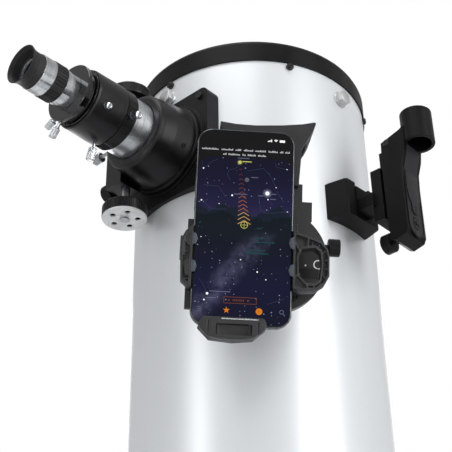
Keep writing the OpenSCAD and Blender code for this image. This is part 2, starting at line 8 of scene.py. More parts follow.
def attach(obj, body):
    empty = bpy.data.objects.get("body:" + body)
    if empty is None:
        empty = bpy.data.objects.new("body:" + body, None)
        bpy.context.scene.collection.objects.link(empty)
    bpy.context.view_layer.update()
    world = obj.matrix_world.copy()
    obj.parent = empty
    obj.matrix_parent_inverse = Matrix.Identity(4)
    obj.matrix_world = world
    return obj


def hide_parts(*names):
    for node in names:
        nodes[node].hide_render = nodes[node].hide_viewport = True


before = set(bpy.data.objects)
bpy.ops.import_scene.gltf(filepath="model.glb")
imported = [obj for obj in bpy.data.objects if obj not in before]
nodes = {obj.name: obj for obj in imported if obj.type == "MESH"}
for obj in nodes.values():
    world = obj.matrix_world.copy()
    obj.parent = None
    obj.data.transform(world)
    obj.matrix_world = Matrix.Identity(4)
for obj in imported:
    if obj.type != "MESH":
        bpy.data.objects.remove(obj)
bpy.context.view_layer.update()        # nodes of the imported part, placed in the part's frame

mm = 0.001
print("frame loaded:", len(nodes), "nodes")

# Where the groups sit. Angles go round the tube from the observer's side, heights are in metres.
layout = {
    "ringHeight": 1.220, "tubeOuter": 0.1175,
    "focuserAngle": -40.2, "focuserHeight": 1.133,
    "finderAngle": 50.0, "spiderAngle": -41.5, "spiderHeight": 1.1995,
    "dockAngle": 5.4, "dockHeight": 0.9814, "dockReach": 0.1988, "dockAcross": -0.0265,
    "dockLean": 15.05, "dockRoll": 2.1,
}


def turn(degrees, axis):
    return Matrix.Rotation(math.radians(degrees), 4, axis)


# Each frame turns millimetres in a group's own directions into metres in the part's frame.
def tubeFrame(angle, height):    # X round the tube, Y up, Z outwards from the tube's axis
    return Matrix.Translation((0, 0, height)) @ turn(angle, "Z") @ turn(90, "X") @ Matrix.Scale(mm, 4)


standFrame = Matrix.Scale(mm, 4)
focuserFrame = tubeFrame(layout["focuserAngle"], layout["focuserHeight"])
finderFrame = tubeFrame(layout["finderAngle"], layout["ringHeight"])
# X to the phone's right, Y into it from its face, Z up its length
dockFrame = (Matrix.Translation((0, 0, layout["dockHeight"])) @ turn(layout["dockAngle"], "Z")
             @ Matrix.Translation((layout["dockAcross"], -layout["dockReach"], 0))
             @ turn(layout["dockLean"], "X") @ turn(layout["dockRoll"], "Y") @ Matrix.Scale(mm, 4))

# Camera, light and backdrop.
view = {"place": (0, -0.92911, 0.52478), "yaw": -0.0296, "pitch": 0.5599, "roll": -0.0165, "lens": 87.61}
camera = bpy.data.objects.new("camera", bpy.data.cameras.new("camera"))
bpy.context.scene.collection.objects.link(camera)
ahead = Vector((math.sin(view["yaw"]) * math.cos(view["pitch"]),
                math.cos(view["yaw"]) * math.cos(view["pitch"]), math.sin(view["pitch"])))
level = Vector((math.cos(view["yaw"]), -math.sin(view["yaw"]), 0))
upright = level.cross(ahead)
right = level * math.cos(view["roll"]) + upright * math.sin(view["roll"])
above = upright * math.cos(view["roll"]) - level * math.sin(view["roll"])
camera.matrix_world = Matrix.Translation(view["place"]) @ Matrix((right, above, -ahead)).transposed().to_4x4()
camera.data.lens = view["lens"]
camera.data.sensor_width = 36
camera.data.clip_start = 0.05
bpy.context.scene.camera = camera
bpy.context.scene.view_settings.view_transform = "Standard"

# Soft boxes stand round the observer: angle from the observer's side, height, distance, size, watts.
softBoxes = {
    "keyLight": (50, 0.9, 2.6, (0.75, 3.2), 60),
    "fillLight": (-50, 0.9, 2.6, (0.5, 3.2), 17),
    "frontLight": (-5, -0.2, 3.4, (2.2, 1.2), 33),
    "topLight": (-20, 3.4, 1.2, (1.6, 1.6), 30),
    "backLight": (180, 1.6, 3.0, (2.5, 2.0), 45),
}
for name, (angle, height, distance, size, watts) in softBoxes.items():
    lamp = bpy.data.lights.new(name, "AREA")
    lamp.shape = "RECTANGLE"
    lamp.size, lamp.size_y = size
    lamp.energy = watts
    holder = bpy.data.objects.new(name, lamp)
    bpy.context.scene.collection.objects.link(holder)
    spot = Vector((math.sin(math.radians(angle)) * distance, -math.cos(math.radians(angle)) * distance, height))
    aim = Vector((0, 0, 0.9)) - spot
    holder.matrix_world = Matrix.Translation(spot) @ aim.to_track_quat("-Z", "Y").to_matrix().to_4x4()
    holder.visible_camera = False


def addNode(tree, kind, inputs=None, **settings):
    made = tree.nodes.new(kind)
    for name, value in settings.items():
        setattr(made, name, value)
    for name, value in (inputs or {}).items():
        socket = made.inputs[name]
        if isinstance(value, bpy.types.NodeSocket):
            tree.links.new(value, socket)
        else:
            socket.default_value = value
    return made


def colour(hexCode, alpha=1.0):    # sRGB hex to the linear values that Blender mixes
    parts = [int(hexCode[i:i + 2], 16) / 255 for i in (1, 3, 5)]
    return tuple(p / 12.92 if p <= 0.04045 else ((p + 0.055) / 1.055) ** 2.4 for p in parts) + (alpha,)


world = bpy.data.worlds.new("studio")
bpy.context.scene.world = world
world.use_nodes = True
sky = world.node_tree
sky.nodes.clear()
direction = addNode(sky, "ShaderNodeTexCoord").outputs["Generated"]
updown = addNode(sky, "ShaderNodeSeparateXYZ", {0: direction}).outputs["Z"]
shade = addNode(sky, "ShaderNodeMapRange", {"Value": updown, "From Min": -0.2, "From Max": 0.9,
                                            "To Min": 0.62, "To Max": 0.5}).outputs[0]
roomLight = addNode(sky, "ShaderNodeBackground", {"Color": (1, 1, 1, 1), "Strength": shade}).outputs[0]
backdropWhite = addNode(sky, "ShaderNodeBackground", {"Color": (1, 1, 1, 1), "Strength": 1.0}).outputs[0]
seen = addNode(sky, "ShaderNodeLightPath").outputs["Is Camera Ray"]
mixed = addNode(sky, "ShaderNodeMixShader", {0: seen, 1: roomLight, 2: backdropWhite}).outputs[0]
addNode(sky, "ShaderNodeOutputWorld", {0: mixed})


def newMaterial(name):
    material = bpy.data.materials.new(name)
    material.use_nodes = True
    material.node_tree.nodes.clear()
    return material, material.node_tree


def closeMaterial(material, surface):
    addNode(material.node_tree, "ShaderNodeOutputMaterial", {"Surface": surface})
    return material


def localPoints(tree, frameMatrix):    # object coordinates in millimetres, in a group's own directions
    inverse = frameMatrix.inverted()
    points = addNode(tree, "ShaderNodeTexCoord").outputs["Object"]
    return addNode(tree, "ShaderNodeMapping", {
        "Vector": points, "Location": inverse.to_translation(), "Rotation": inverse.to_euler(),
        "Scale": (1 / mm, 1 / mm, 1 / mm)}).outputs[0]


# A solid with a fine moulded, cast or sprayed skin: grain in mm, bump in mm, worn or bright edges.
def grainedSkin(name, look):
    material, tree = newMaterial(name)
    points = localPoints(tree, standFrame)
    grain = addNode(tree, "ShaderNodeTexNoise", {"Vector": points, "Scale": 1 / look["grain"], "Detail": 4,
                                                 "Roughness": 0.6}).outputs[0]
    drift = addNode(tree, "ShaderNodeTexNoise", {"Vector": points, "Scale": 1 / look.get("drift", 28),
                                                 "Detail": 3}).outputs[0]
    blend = addNode(tree, "ShaderNodeMath", {0: drift, 1: grain}, operation="MULTIPLY").outputs[0]
    tone = addNode(tree, "ShaderNodeMapRange", {"Value": blend, "From Min": 0.1, "From Max": 0.45}).outputs[0]
    base = addNode(tree, "ShaderNodeMix", {0: tone, 6: colour(look["dark"]), 7: colour(look["light"])},
                   data_type="RGBA").outputs[2]
    rounded = addNode(tree, "ShaderNodeBevel", {"Radius": look.get("edge", 0.5) * mm}, samples=4).outputs[0]
    flat = addNode(tree, "ShaderNodeNewGeometry").outputs["Normal"]
    facing = addNode(tree, "ShaderNodeVectorMath", {0: rounded, 1: flat}, operation="DOT_PRODUCT").outputs["Value"]
    edge = addNode(tree, "ShaderNodeMapRange", {"Value": facing, "From Min": 0.995, "From Max": 0.8,
                                                "To Min": 0.0, "To Max": look.get("wear", 0.3)}).outputs[0]
    worn = addNode(tree, "ShaderNodeMix", {0: edge, 6: base, 7: colour(look.get("worn", look["light"]))},
                   data_type="RGBA").outputs[2]
    low, high = look["roughness"]
    rough = addNode(tree, "ShaderNodeMapRange", {"Value": drift, "From Min": 0.3, "From Max": 0.7,
                                                 "To Min": low, "To Max": high}).outputs[0]
    bump = addNode(tree, "ShaderNodeBump", {"Height": grain, "Distance": look["bump"] * mm, "Strength": 1.0,
                                            "Normal": rounded}).outputs[0]
    shader = addNode(tree, "ShaderNodeBsdfPrincipled", {
        "Base Color": worn, "Roughness": rough, "Normal": bump, "Metallic": look.get("metallic", 0.0),
        "Specular IOR Level": look.get("specular", 0.5), "Coat Weight": look.get("coat", 0.0),
        "Coat Roughness": 0.15}).outputs[0]
    return closeMaterial(material, shader)


# Metal turned on a lathe: fine rings along the group's Z axis, with a slow change of tone round it.
def turnedMetal(name, look, frameMatrix):
    material, tree = newMaterial(name)
    points = localPoints(tree, frameMatrix)
    stretched = addNode(tree, "ShaderNodeVectorMath", {0: points, 1: (0.02, 0.02, 1 / look["pitch"])},
                        operation="MULTIPLY").outputs[0]
    rings = addNode(tree, "ShaderNodeTexNoise", {"Vector": stretched, "Scale": 1.0, "Detail": 5,
                                                 "Roughness": 0.7}).outputs[0]
    clouds = addNode(tree, "ShaderNodeTexNoise", {"Vector": points, "Scale": 0.09, "Detail": 2}).outputs[0]
    tone = addNode(tree, "ShaderNodeMath", {0: rings, 1: clouds}, operation="MULTIPLY").outputs[0]
    share = addNode(tree, "ShaderNodeMapRange", {"Value": tone, "From Min": 0.12, "From Max": 0.4}).outputs[0]
    base = addNode(tree, "ShaderNodeMix", {0: share, 6: colour(look["dark"]), 7: colour(look["light"])},
                   data_type="RGBA").outputs[2]
    low, high = look["roughness"]
    rough = addNode(tree, "ShaderNodeMapRange", {"Value": rings, "From Min": 0.3, "From Max": 0.7,
                                                 "To Min": low, "To Max": high}).outputs[0]
    rounded = addNode(tree, "ShaderNodeBevel", {"Radius": look.get("edge", 0.25) * mm}, samples=4).outputs[0]
    bump = addNode(tree, "ShaderNodeBump", {"Height": rings, "Distance": look["bump"] * mm, "Strength": 1.0,
                                            "Normal": rounded}).outputs[0]
    shader = addNode(tree, "ShaderNodeBsdfPrincipled", {
        "Base Color": base, "Roughness": rough, "Normal": bump, "Metallic": look.get("metallic", 1.0),
        "Specular IOR Level": look.get("specular", 0.5), "Anisotropic": look.get("anisotropic", 0.0)}).outputs[0]
    return closeMaterial(material, shader)


looks = {
    # moulded ABS of the end rings: satin, near black, with a fine spark-eroded grain
    "ringAbs": {"grain": 0.7, "drift": 22, "dark": "#09090a", "light": "#111112", "worn": "#2c2c2d", "wear": 0.35,
                "roughness": (0.34, 0.5), "bump": 0.05, "edge": 0.9, "specular": 0.13},
    # moulded glass-filled nylon of the phone dock: dull dark grey, slightly scuffed
    "dockNylon": {"grain": 0.6, "drift": 14, "dark": "#161718", "light": "#232425", "worn": "#515254", "wear": 0.5,
                  "roughness": (0.45, 0.62), "bump": 0.05, "edge": 0.7, "specular": 0.42},
    # moulded ABS of the finder and its shoe: matt black
    "finderAbs": {"grain": 0.5, "drift": 12, "dark": "#070708", "light": "#0e0e0f", "worn": "#2b2c2d", "wear": 0.4,
                  "roughness": (0.36, 0.5), "bump": 0.035, "edge": 0.8, "specular": 0.13},
    # moulded ABS of the finder's deck and battery cover: mid grey satin
    "deckAbs": {"grain": 0.5, "drift": 10, "dark": "#161718", "light": "#202122", "worn": "#4a4b4c", "wear": 0.4,
                "roughness": (0.42, 0.55), "bump": 0.03, "edge": 0.4, "specular": 0.22},
    # moulded ABS of knobs, hubs and clips: black with a slight gloss
    "knobAbs": {"grain": 0.5, "drift": 12, "dark": "#09090a", "light": "#111112", "worn": "#2c2d2e", "wear": 0.4,
                "roughness": (0.35, 0.5), "bump": 0.03, "edge": 0.5, "specular": 0.25},
    # melamine laminate on particle board: black with a pebbled press grain that catches the light
    "blackLaminate": {"grain": 1.6, "drift": 60, "dark": "#0c0c0d", "light": "#141415", "worn": "#4a4744",
                      "wear": 0.35, "roughness": (0.42, 0.6), "bump": 0.1, "edge": 0.7},
    # vulcanised rubber of feet and eyecup: very dull black
    "blackRubber": {"grain": 0.6, "drift": 9, "dark": "#121213", "light": "#1d1d1e", "worn": "#333334", "wear": 0.3,
                    "roughness": (0.55, 0.75), "bump": 0.04, "edge": 0.5, "specular": 0.4},
    # sintered PTFE of the bearing pads: waxy off-white
    "ptfe": {"grain": 1.2, "drift": 18, "dark": "#cfcfc8", "light": "#e6e6e0", "roughness": (0.35, 0.5),
             "bump": 0.02, "edge": 0.4, "wear": 0.1},
    # black powder coat on die-cast aluminium: the mirror cell, orange-peel skin
    "powderCoat": {"grain": 1.0, "drift": 30, "dark": "#101011", "light": "#1a1a1b", "worn": "#707070", "wear": 0.3,
                   "roughness": (0.4, 0.55), "bump": 0.06, "edge": 0.6},
    # zinc plated steel of screws and bolts: grey with cloudy crystals
    "zincSteel": {"grain": 0.8, "drift": 6, "dark": "#8d9094", "light": "#b8bbbf", "worn": "#d0d2d4", "wear": 0.3,
                  "roughness": (0.25, 0.42), "bump": 0.01, "edge": 0.35, "metallic": 1.0},
    # black oxide on steel: screws and spider vanes
    "blackOxide": {"grain": 0.5, "drift": 8, "dark": "#121213", "light": "#1e1e1f", "worn": "#56585a", "wear": 0.4,
                   "roughness": (0.25, 0.4), "bump": 0.01, "edge": 0.35, "metallic": 0.3},
    # chrome plate on brass: nuts and thumbscrews, bright with soft smears
    "chromePlate": {"grain": 0.9, "drift": 5, "dark": "#b4b8bc", "light": "#dde0e3", "worn": "#ffffff", "wear": 0.2,
                    "roughness": (0.1, 0.22), "bump": 0.004, "edge": 0.4, "metallic": 1.0},
    # black anodised aluminium of the focuser: deep satin black with a soft sheen
    "blackAnodised": {"grain": 0.35, "drift": 16, "dark": "#070708", "light": "#0d0d0e", "worn": "#57575a",
                      "wear": 0.25, "roughness": (0.3, 0.4), "bump": 0.012, "edge": 0.45, "metallic": 0.15,
                      "specular": 0.4},
    # moulded rubber of the clamp arms' pads: grey-blue, soft sheen
    "padRubber": {"grain": 0.5, "drift": 5, "dark": "#2a2e36", "light": "#3b414b", "worn": "#646b78", "wear": 0.4,
                  "roughness": (0.4, 0.55), "bump": 0.03, "edge": 0.4},
    # satin nickel plate of the spider's cap nuts
    "satinNickel": {"grain": 0.7, "drift": 9, "dark": "#a9aaab", "light": "#cfd0d0", "worn": "#f2f2f2", "wear": 0.5,
                    "roughness": (0.3, 0.42), "bump": 0.006, "edge": 0.5, "metallic": 0.8},
    # painted cast aluminium of the focuser's saddle: flat black
    "saddlePaint": {"grain": 0.4, "drift": 18, "dark": "#080809", "light": "#0e0e0f", "worn": "#505052",
                    "wear": 0.3, "roughness": (0.36, 0.5), "bump": 0.02, "edge": 0.6, "specular": 0.22},
    # polished black anodise of the adapter: glossy, catches long reflections
    "glossAnodised": {"grain": 0.3, "drift": 20, "dark": "#070708", "light": "#0b0b0c", "worn": "#707072",
                      "wear": 0.3, "roughness": (0.08, 0.16), "bump": 0.004, "edge": 0.4, "metallic": 0.2,
                      "specular": 0.8},
}
finishes = {name: grainedSkin(name, look) for name, look in looks.items()}

# clear anodised aluminium of the drawtube, turned then satin finished
finishes["clearAnodised"] = turnedMetal("clearAnodised", {
    "pitch": 0.5, "dark": "#b9bcc0", "light": "#e4e6e8", "roughness": (0.24, 0.36), "bump": 0.004,
    "anisotropic": 0.5}, focuserFrame)
# nickel-chrome plate on the eyepiece barrel, polished
finishes["polishedBarrel"] = turnedMetal("polishedBarrel", {
    "pitch": 0.4, "dark": "#a9acb0", "light": "#dcdee0", "roughness": (0.12, 0.24), "bump": 0.003,
    "anisotropic": 0.4}, focuserFrame)


# Silver enamel on rolled steel outside, flat black inside: the wall's middle radius parts the two.
def tubeEnamel():
    material, tree = newMaterial("silverEnamel")
    points = localPoints(tree, standFrame)
    apart = addNode(tree, "ShaderNodeSeparateXYZ", {0: points})
    level = addNode(tree, "ShaderNodeCombineXYZ", {0: apart.outputs["X"], 1: apart.outputs["Y"]}).outputs[0]
    radius = addNode(tree, "ShaderNodeVectorMath", {0: level}, operation="LENGTH").outputs["Value"]
    outside = addNode(tree, "ShaderNodeMath", {0: radius, 1: layout["tubeOuter"] / mm - 0.5},
                      operation="GREATER_THAN").outputs[0]
    peel = addNode(tree, "ShaderNodeTexNoise", {"Vector": points, "Scale": 0.5, "Detail": 3}).outputs[0]
    flake = addNode(tree, "ShaderNodeTexVoronoi", {"Vector": points, "Scale": 2.2}).outputs["Color"]
    sparkle = addNode(tree, "ShaderNodeMix", {0: 0.05, 6: colour("#d6d9dc"), 7: flake}, data_type="RGBA",
                      blend_type="SOFT_LIGHT").outputs[2]
    base = addNode(tree, "ShaderNodeMix", {0: outside, 6: colour("#0c0c0d"), 7: sparkle},
                   data_type="RGBA").outputs[2]
    metallic = addNode(tree, "ShaderNodeMath", {0: outside, 1: 0.45}, operation="MULTIPLY").outputs[0]
    rough = addNode(tree, "ShaderNodeMapRange", {"Value": outside, "To Min": 0.85, "To Max": 0.36}).outputs[0]
    bump = addNode(tree, "ShaderNodeBump", {"Height": peel, "Distance": 0.02 * mm, "Strength": 0.6}).outputs[0]
    shader = addNode(tree, "ShaderNodeBsdfPrincipled", {
        "Base Color": base, "Metallic": metallic, "Roughness": rough, "Normal": bump,
        "Specular IOR Level": 0.5, "Coat Weight": 0.15, "Coat Roughness": 0.2}).outputs[0]
    return closeMaterial(material, shader)


# Aluminised glass: bright coating with a faint film of dust.
def mirrorCoating():
    material, tree = newMaterial("aluminisedGlass")
    points = localPoints(tree, standFrame)
    dust = addNode(tree, "ShaderNodeTexNoise", {"Vector": points, "Scale": 0.05, "Detail": 6}).outputs[0]
    rough = addNode(tree, "ShaderNodeMapRange", {"Value": dust, "From Min": 0.35, "From Max": 0.75,
                                                 "To Min": 0.015, "To Max": 0.06}).outputs[0]
    base = addNode(tree, "ShaderNodeMix", {0: dust, 6: colour("#dfe6ec"), 7: colour("#eef2f5")},
                   data_type="RGBA").outputs[2]
    shader = addNode(tree, "ShaderNodeBsdfPrincipled", {"Base Color": base, "Metallic": 1.0,
                                                        "Roughness": rough}).outputs[0]
    return closeMaterial(material, shader)


# Multi-coated lens: near-black glass with a violet-green bloom towards its rim.
def lensCoating():
    material, tree = newMaterial("coatedLens")
    points = localPoints(tree, focuserFrame)
    grime = addNode(tree, "ShaderNodeTexNoise", {"Vector": points, "Scale": 0.3, "Detail": 4}).outputs[0]
    rough = addNode(tree, "ShaderNodeMapRange", {"Value": grime, "To Min": 0.02, "To Max": 0.08}).outputs[0]
    bloom = addNode(tree, "ShaderNodeMix", {0: grime, 6: colour("#140f24"), 7: colour("#0d1c1a")},
                    data_type="RGBA").outputs[2]
    shader = addNode(tree, "ShaderNodeBsdfPrincipled", {
        "Base Color": bloom, "Roughness": rough, "IOR": 1.6, "Specular IOR Level": 0.7, "Coat Weight": 0.6,
        "Coat Roughness": 0.03}).outputs[0]
    return closeMaterial(material, shader)


finishes["silverEnamel"] = tubeEnamel()
finishes["aluminisedGlass"] = mirrorCoating()
finishes["coatedLens"] = lensCoating()

# clear anodised aluminium of the focus knobs' faces: pale, fine turned rings
finishes["knobFace"] = turnedMetal("turnedKnobFace", {
    "pitch": 0.5, "dark": "#c3c4c5", "light": "#dddedf", "roughness": (0.38, 0.5), "bump": 0.004,
    "metallic": 0.35}, focuserFrame)
# stainless steel band of the phone, brushed
finishes["steelBand"] = turnedMetal("brushedSteelBand", {
    "pitch": 0.4, "dark": "#3c3e42", "light": "#62656a", "roughness": (0.22, 0.34), "bump": 0.003}, dockFrame)


# Cover glass over black ink: almost no colour, faint finger smears in its gloss.
def coverGlass():
    material, tree = newMaterial("blackCoverGlass")
    points = localPoints(tree, dockFrame)
    smears = addNode(tree, "ShaderNodeTexNoise", {"Vector": points, "Scale": 0.06, "Detail": 5,
                                                  "Distortion": 1.2}).outputs[0]
    rough = addNode(tree, "ShaderNodeMapRange", {"Value": smears, "From Min": 0.3, "From Max": 0.7,
                                                 "To Min": 0.04, "To Max": 0.14}).outputs[0]
    tint = addNode(tree, "ShaderNodeMix", {0: smears, 6: colour("#050506"), 7: colour("#0b0b0d")},
                   data_type="RGBA").outputs[2]
    shader = addNode(tree, "ShaderNodeBsdfPrincipled", {"Base Color": tint, "Roughness": rough, "IOR": 1.5,
                                                        "Specular IOR Level": 0.2}).outputs[0]
    return closeMaterial(material, shader)


# Reflex window: dark coated glass with a painted yellow-green reflection brightening across one side.
def reflexGlass():
    material, tree = newMaterial("reflexGlass")
    points = localPoints(tree, finderFrame)
    # painted reflection: the base colour turns from near black to bright yellow-green towards one side, broken up
    # by clouds
    across = addNode(tree, "ShaderNodeSeparateXYZ", {0: points}).outputs["X"]
    share = addNode(tree, "ShaderNodeMapRange", {"Value": across, "From Min": 2, "From Max": -11}).outputs[0]
    cloud = addNode(tree, "ShaderNodeTexNoise", {"Vector": points, "Scale": 0.25, "Detail": 3}).outputs[0]
    reflectionShare = addNode(tree, "ShaderNodeMath", {0: share, 1: cloud}, operation="MULTIPLY").outputs[0]
    tint = addNode(tree, "ShaderNodeMix", {0: reflectionShare, 6: colour("#060706"), 7: colour("#b7bd2a")},
                   data_type="RGBA").outputs[2]
    shader = addNode(tree, "ShaderNodeBsdfPrincipled", {"Base Color": tint, "Roughness": 0.08, "IOR": 1.5,
                                                        "Specular IOR Level": 0.3}).outputs[0]
    return closeMaterial(material, shader)


# The lit display: a night sky that turns violet over two ranges of hills, with a band of faint stars below.
def starChart():
    material, tree = newMaterial("litDisplay")
    points = localPoints(tree, dockFrame)
    apart = addNode(tree, "ShaderNodeSeparateXYZ", {0: points})
    across, up = apart.outputs["X"], apart.outputs["Z"]

    # a short way to write the display's sums: MIX and STEP, or the name of an operation on two values
    def worked(kind, *values):
        if kind == "MIX":
            return addNode(tree, "ShaderNodeMix", dict(zip((0, 6, 7), values)), data_type="RGBA").outputs[2]
        if kind == "STEP":
            return addNode(tree, "ShaderNodeMapRange", dict(zip((0, 1, 2), values)),
                           interpolation_type="SMOOTHSTEP").outputs[0]
        return addNode(tree, "ShaderNodeMath", dict(enumerate(values)), operation=kind).outputs[0]

    height = addNode(tree, "ShaderNodeMapRange", {"Value": up, "From Min": -77, "From Max": 57}).outputs[0]
    ramp = addNode(tree, "ShaderNodeValToRGB", {0: height})
    stops = [(0.0, "#0a0c22"), (0.2, "#0e1030"), (0.42, "#0a0f22"), (0.585, "#071019"), (0.60, "#2c2848"),
             (0.7, "#1c1a3c"), (0.85, "#100f2c"), (1.0, "#0b0b22")]
    for spot, _ in stops[1:-1]:
        ramp.color_ramp.elements.new(spot)
    for element, (spot, code) in zip(ramp.color_ramp.elements, stops):
        element.position = spot
        element.color = colour(code)
    skyColour = ramp.outputs[0]
    # two ridges: a height that wanders with the place across
    hillShare = 0.0
    for size, seed, base, swing, code in ((0.06, 3.0, -7.0, 40.0, "#101a28"), (0.045, 9.0, -8.0, 30.0, "#08121a")):
        spotAcross = addNode(tree, "ShaderNodeCombineXYZ", {0: across, 1: seed}).outputs[0]
        wander = addNode(tree, "ShaderNodeTexNoise", {"Vector": spotAcross, "Scale": size, "Detail": 5}).outputs[0]
        ridge = worked("ADD", worked("MULTIPLY", wander, swing), base)
        below = worked("STEP", worked("SUBTRACT", ridge, up), -0.3, 0.3)
        depth = worked("MULTIPLY", below, worked("STEP", up, -16.0, 8.0))
        hillShare = worked("MAXIMUM", hillShare, depth)
        skyColour = worked("MIX", depth, skyColour, colour(code))
    clearSky = worked("SUBTRACT", 1.0, hillShare)
    # the star band: brightness falls with the distance from a sloping line, broken up by clouds
    rise = worked("SUBTRACT", worked("SUBTRACT", up, -26.0), worked("MULTIPLY", across, 1.27))
    slope = worked("MULTIPLY", rise, 0.62)
    away = worked("ABSOLUTE", slope, 0.0)
    clouds = addNode(tree, "ShaderNodeTexNoise", {"Vector": points, "Scale": 0.09, "Detail": 8,
                                                  "Roughness": 0.65}).outputs[0]
    near = worked("SUBTRACT", 1.0, worked("STEP", away, 0.5, 13.0))
    glow = worked("MULTIPLY", near, worked("STEP", clouds, 0.3, 0.72))
    glow = worked("MULTIPLY", glow, worked("SUBTRACT", 1.0, worked("STEP", up, -16.0, -2.0)))
    skyColour = worked("MIX", worked("MULTIPLY", glow, 0.42), skyColour, colour("#6f7090"))
    # stars: one spot in each small cell, kept where a random colour is high
    flatPoints = addNode(tree, "ShaderNodeCombineXYZ", {0: across, 1: up}).outputs[0]
    for size, spot, keep in ((0.34, 0.085, 0.9), (0.17, 0.06, 0.78)):
        cells = addNode(tree, "ShaderNodeTexVoronoi", {"Vector": flatPoints, "Scale": size},
                        voronoi_dimensions="2D")
        lit = worked("LESS_THAN", cells.outputs["Distance"], spot)
        chance = addNode(tree, "ShaderNodeSeparateColor", {0: cells.outputs["Color"]}).outputs[0]
        star = worked("MULTIPLY", worked("MULTIPLY", lit, worked("STEP", chance, keep, 1.0)), clearSky)
        skyColour = worked("MIX", star, skyColour, colour("#aab4d0"))
    # a soft halo round the two brightest bodies
    for haloAcross, haloUp, reach, code in ((17.8, 27.7, 5.0, "#c8cdf0"), (-4.8, 52.6, 3.2, "#d8d27a")):
        offset = addNode(tree, "ShaderNodeVectorMath", {0: flatPoints, 1: (haloAcross, haloUp, 0)},
                         operation="DISTANCE").outputs["Value"]
        halo = worked("POWER", worked("SUBTRACT", 1.0, worked("STEP", offset, 0.0, reach)), 1.6)
        skyColour = worked("MIX", worked("MULTIPLY", halo, 0.55), skyColour, colour(code))
    shader = addNode(tree, "ShaderNodeBsdfPrincipled", {
        "Base Color": colour("#020203"), "Roughness": 0.12, "Specular IOR Level": 0.15,
        "Emission Color": skyColour, "Emission Strength": 1.0}).outputs[0]
    return closeMaterial(material, shader)


# Lit pixels behind glass, in one hue with a slight grid of brightness.
def litMark(name, hexCode, strength):
    material, tree = newMaterial(name)
    points = localPoints(tree, dockFrame)
    cells = addNode(tree, "ShaderNodeTexNoise", {"Vector": points, "Scale": 1.2, "Detail": 2}).outputs[0]
    share = addNode(tree, "ShaderNodeMapRange", {"Value": cells, "To Min": 0.75, "To Max": 1.0}).outputs[0]
    hue = addNode(tree, "ShaderNodeMix", {0: share, 6: colour("#050505"), 7: colour(hexCode)},
                  data_type="RGBA").outputs[2]
    shader = addNode(tree, "ShaderNodeBsdfPrincipled", {
        "Base Color": colour("#020203"), "Roughness": 0.3, "Specular IOR Level": 0.1, "Emission Color": hue,
        "Emission Strength": strength}).outputs[0]
    return closeMaterial(material, shader)


finishes["reflexGlass"] = reflexGlass()
finishes["blackGlass"] = coverGlass()
finishes["starChart"] = starChart()
displayHues = {
    "displayRed": ("#84402f", 0.9), "displayOrange": ("#b4603a", 1.0), "displayAmber": ("#c59a5c", 1.0),
    "displayIcon": ("#e0801f", 1.0), "displayRust": ("#8c4a22", 0.8),
    "displayYellow": ("#d8d66a", 1.0), "displayWhite": ("#ffffff", 1.3), "displaySilver": ("#e4e6ea", 0.95),
    "displayGrey": ("#63666c", 0.9), "displayDim": ("#8b93b4", 0.45), "displayBlue": ("#5a6890", 0.35),
    "displayGreen": ("#1d6f6c", 0.4),
}
for name, (hexCode, strength) in displayHues.items():
    finishes[name] = litMark(name, hexCode, strength)

nodeFinish = {
    "silverEnamel": ["tube"],
    "ringAbs": ["front_ring", "rear_ring"],
    "blackLaminate": ["ground_board", "rocker_bottom", "side_boards", "front_board"],
    "blackRubber": ["rubber_feet", "eyecup", "eyepiece_grip"],
    "ptfe": ["azimuth_pads", "altitude_pads"],
    "zincSteel": ["pivot_bolt", "base_screws", "optics_screws", "collimation_springs", "focus_shaft", "lock_screw"],
    "powderCoat": ["mirror_cell", "eyepiece_rack"],
    "knobAbs": ["altitude_hubs", "altitude_knob_left", "altitude_knob_right", "collimation_knob_1",
                "collimation_knob_2", "collimation_knob_3", "mirror_clips", "secondary_holder", "dock_knob",
                "tension_knob", "finder_knob", "phone"],
    "blackOxide": ["ring_screws", "spider", "focuser_screws"],
    "satinNickel": ["spider_nuts"],
    "chromePlate": ["adapter_screw_1", "adapter_screw_2", "clamp_screw_1", "clamp_screw_2",
                    "clamp_screw_3"],
    "saddlePaint": ["focuser_saddle"],
    "glossAnodised": ["adapter"],
    "blackAnodised": ["focuser_housing", "eyepiece_clamp", "focus_knobs"],
    "clearAnodised": ["drawtube"],
    "polishedBarrel": ["eyepiece_body"],
    "coatedLens": ["eyepiece_lenses"],
    "aluminisedGlass": ["primary_mirror", "secondary_mirror", "dock_mirror"],
    "dockNylon": ["dock_base", "dock_carriage", "clamp_arm_left", "clamp_arm_right", "phone_tray"],
    "finderAbs": ["finder_shoe", "finder_stem", "finder_body"],
}
for finish, names in nodeFinish.items():
    for name in names:
        nodes[name].data.materials.clear()
        nodes[name].data.materials.append(finishes[finish])
print("finishes given to", sum(len(names) for names in nodeFinish.values()), "nodes")



# Modelling helpers.
def clear():    # nothing open and nothing selected, as the loaded nodes come in selected
    if bpy.context.object and bpy.context.object.mode != "OBJECT":
        bpy.ops.object.mode_set(mode="OBJECT")
    bpy.ops.object.select_all(action="DESELECT")


def only(piece):
    clear()
    bpy.context.view_layer.objects.active = piece
    piece.select_set(True)


def pickFaces(piece, wanted):    # opens edit mode with the wanted faces selected, by centre and normal
    only(piece)
    bpy.ops.object.mode_set(mode="EDIT")
    bpy.ops.mesh.select_mode(type="FACE")
    bpy.ops.mesh.select_all(action="DESELECT")
    bpy.ops.object.mode_set(mode="OBJECT")
    for face in piece.data.polygons:
        face.select = wanted(face.center, face.normal)
    bpy.ops.object.mode_set(mode="EDIT")


def tidyNormals(piece):
    only(piece)
    bpy.ops.object.mode_set(mode="EDIT")
    bpy.ops.mesh.select_all(action="SELECT")
    bpy.ops.mesh.remove_doubles(threshold=0.0005)
    bpy.ops.mesh.normals_make_consistent(inside=False)
    bpy.ops.object.mode_set(mode="OBJECT")


def applyModifier(piece, kind, **settings):
    only(piece)
    modifier = piece.modifiers.new(kind.lower(), kind)
    for name, value in settings.items():
        setattr(modifier, name, value)
    bpy.ops.object.modifier_apply(modifier=modifier.name)


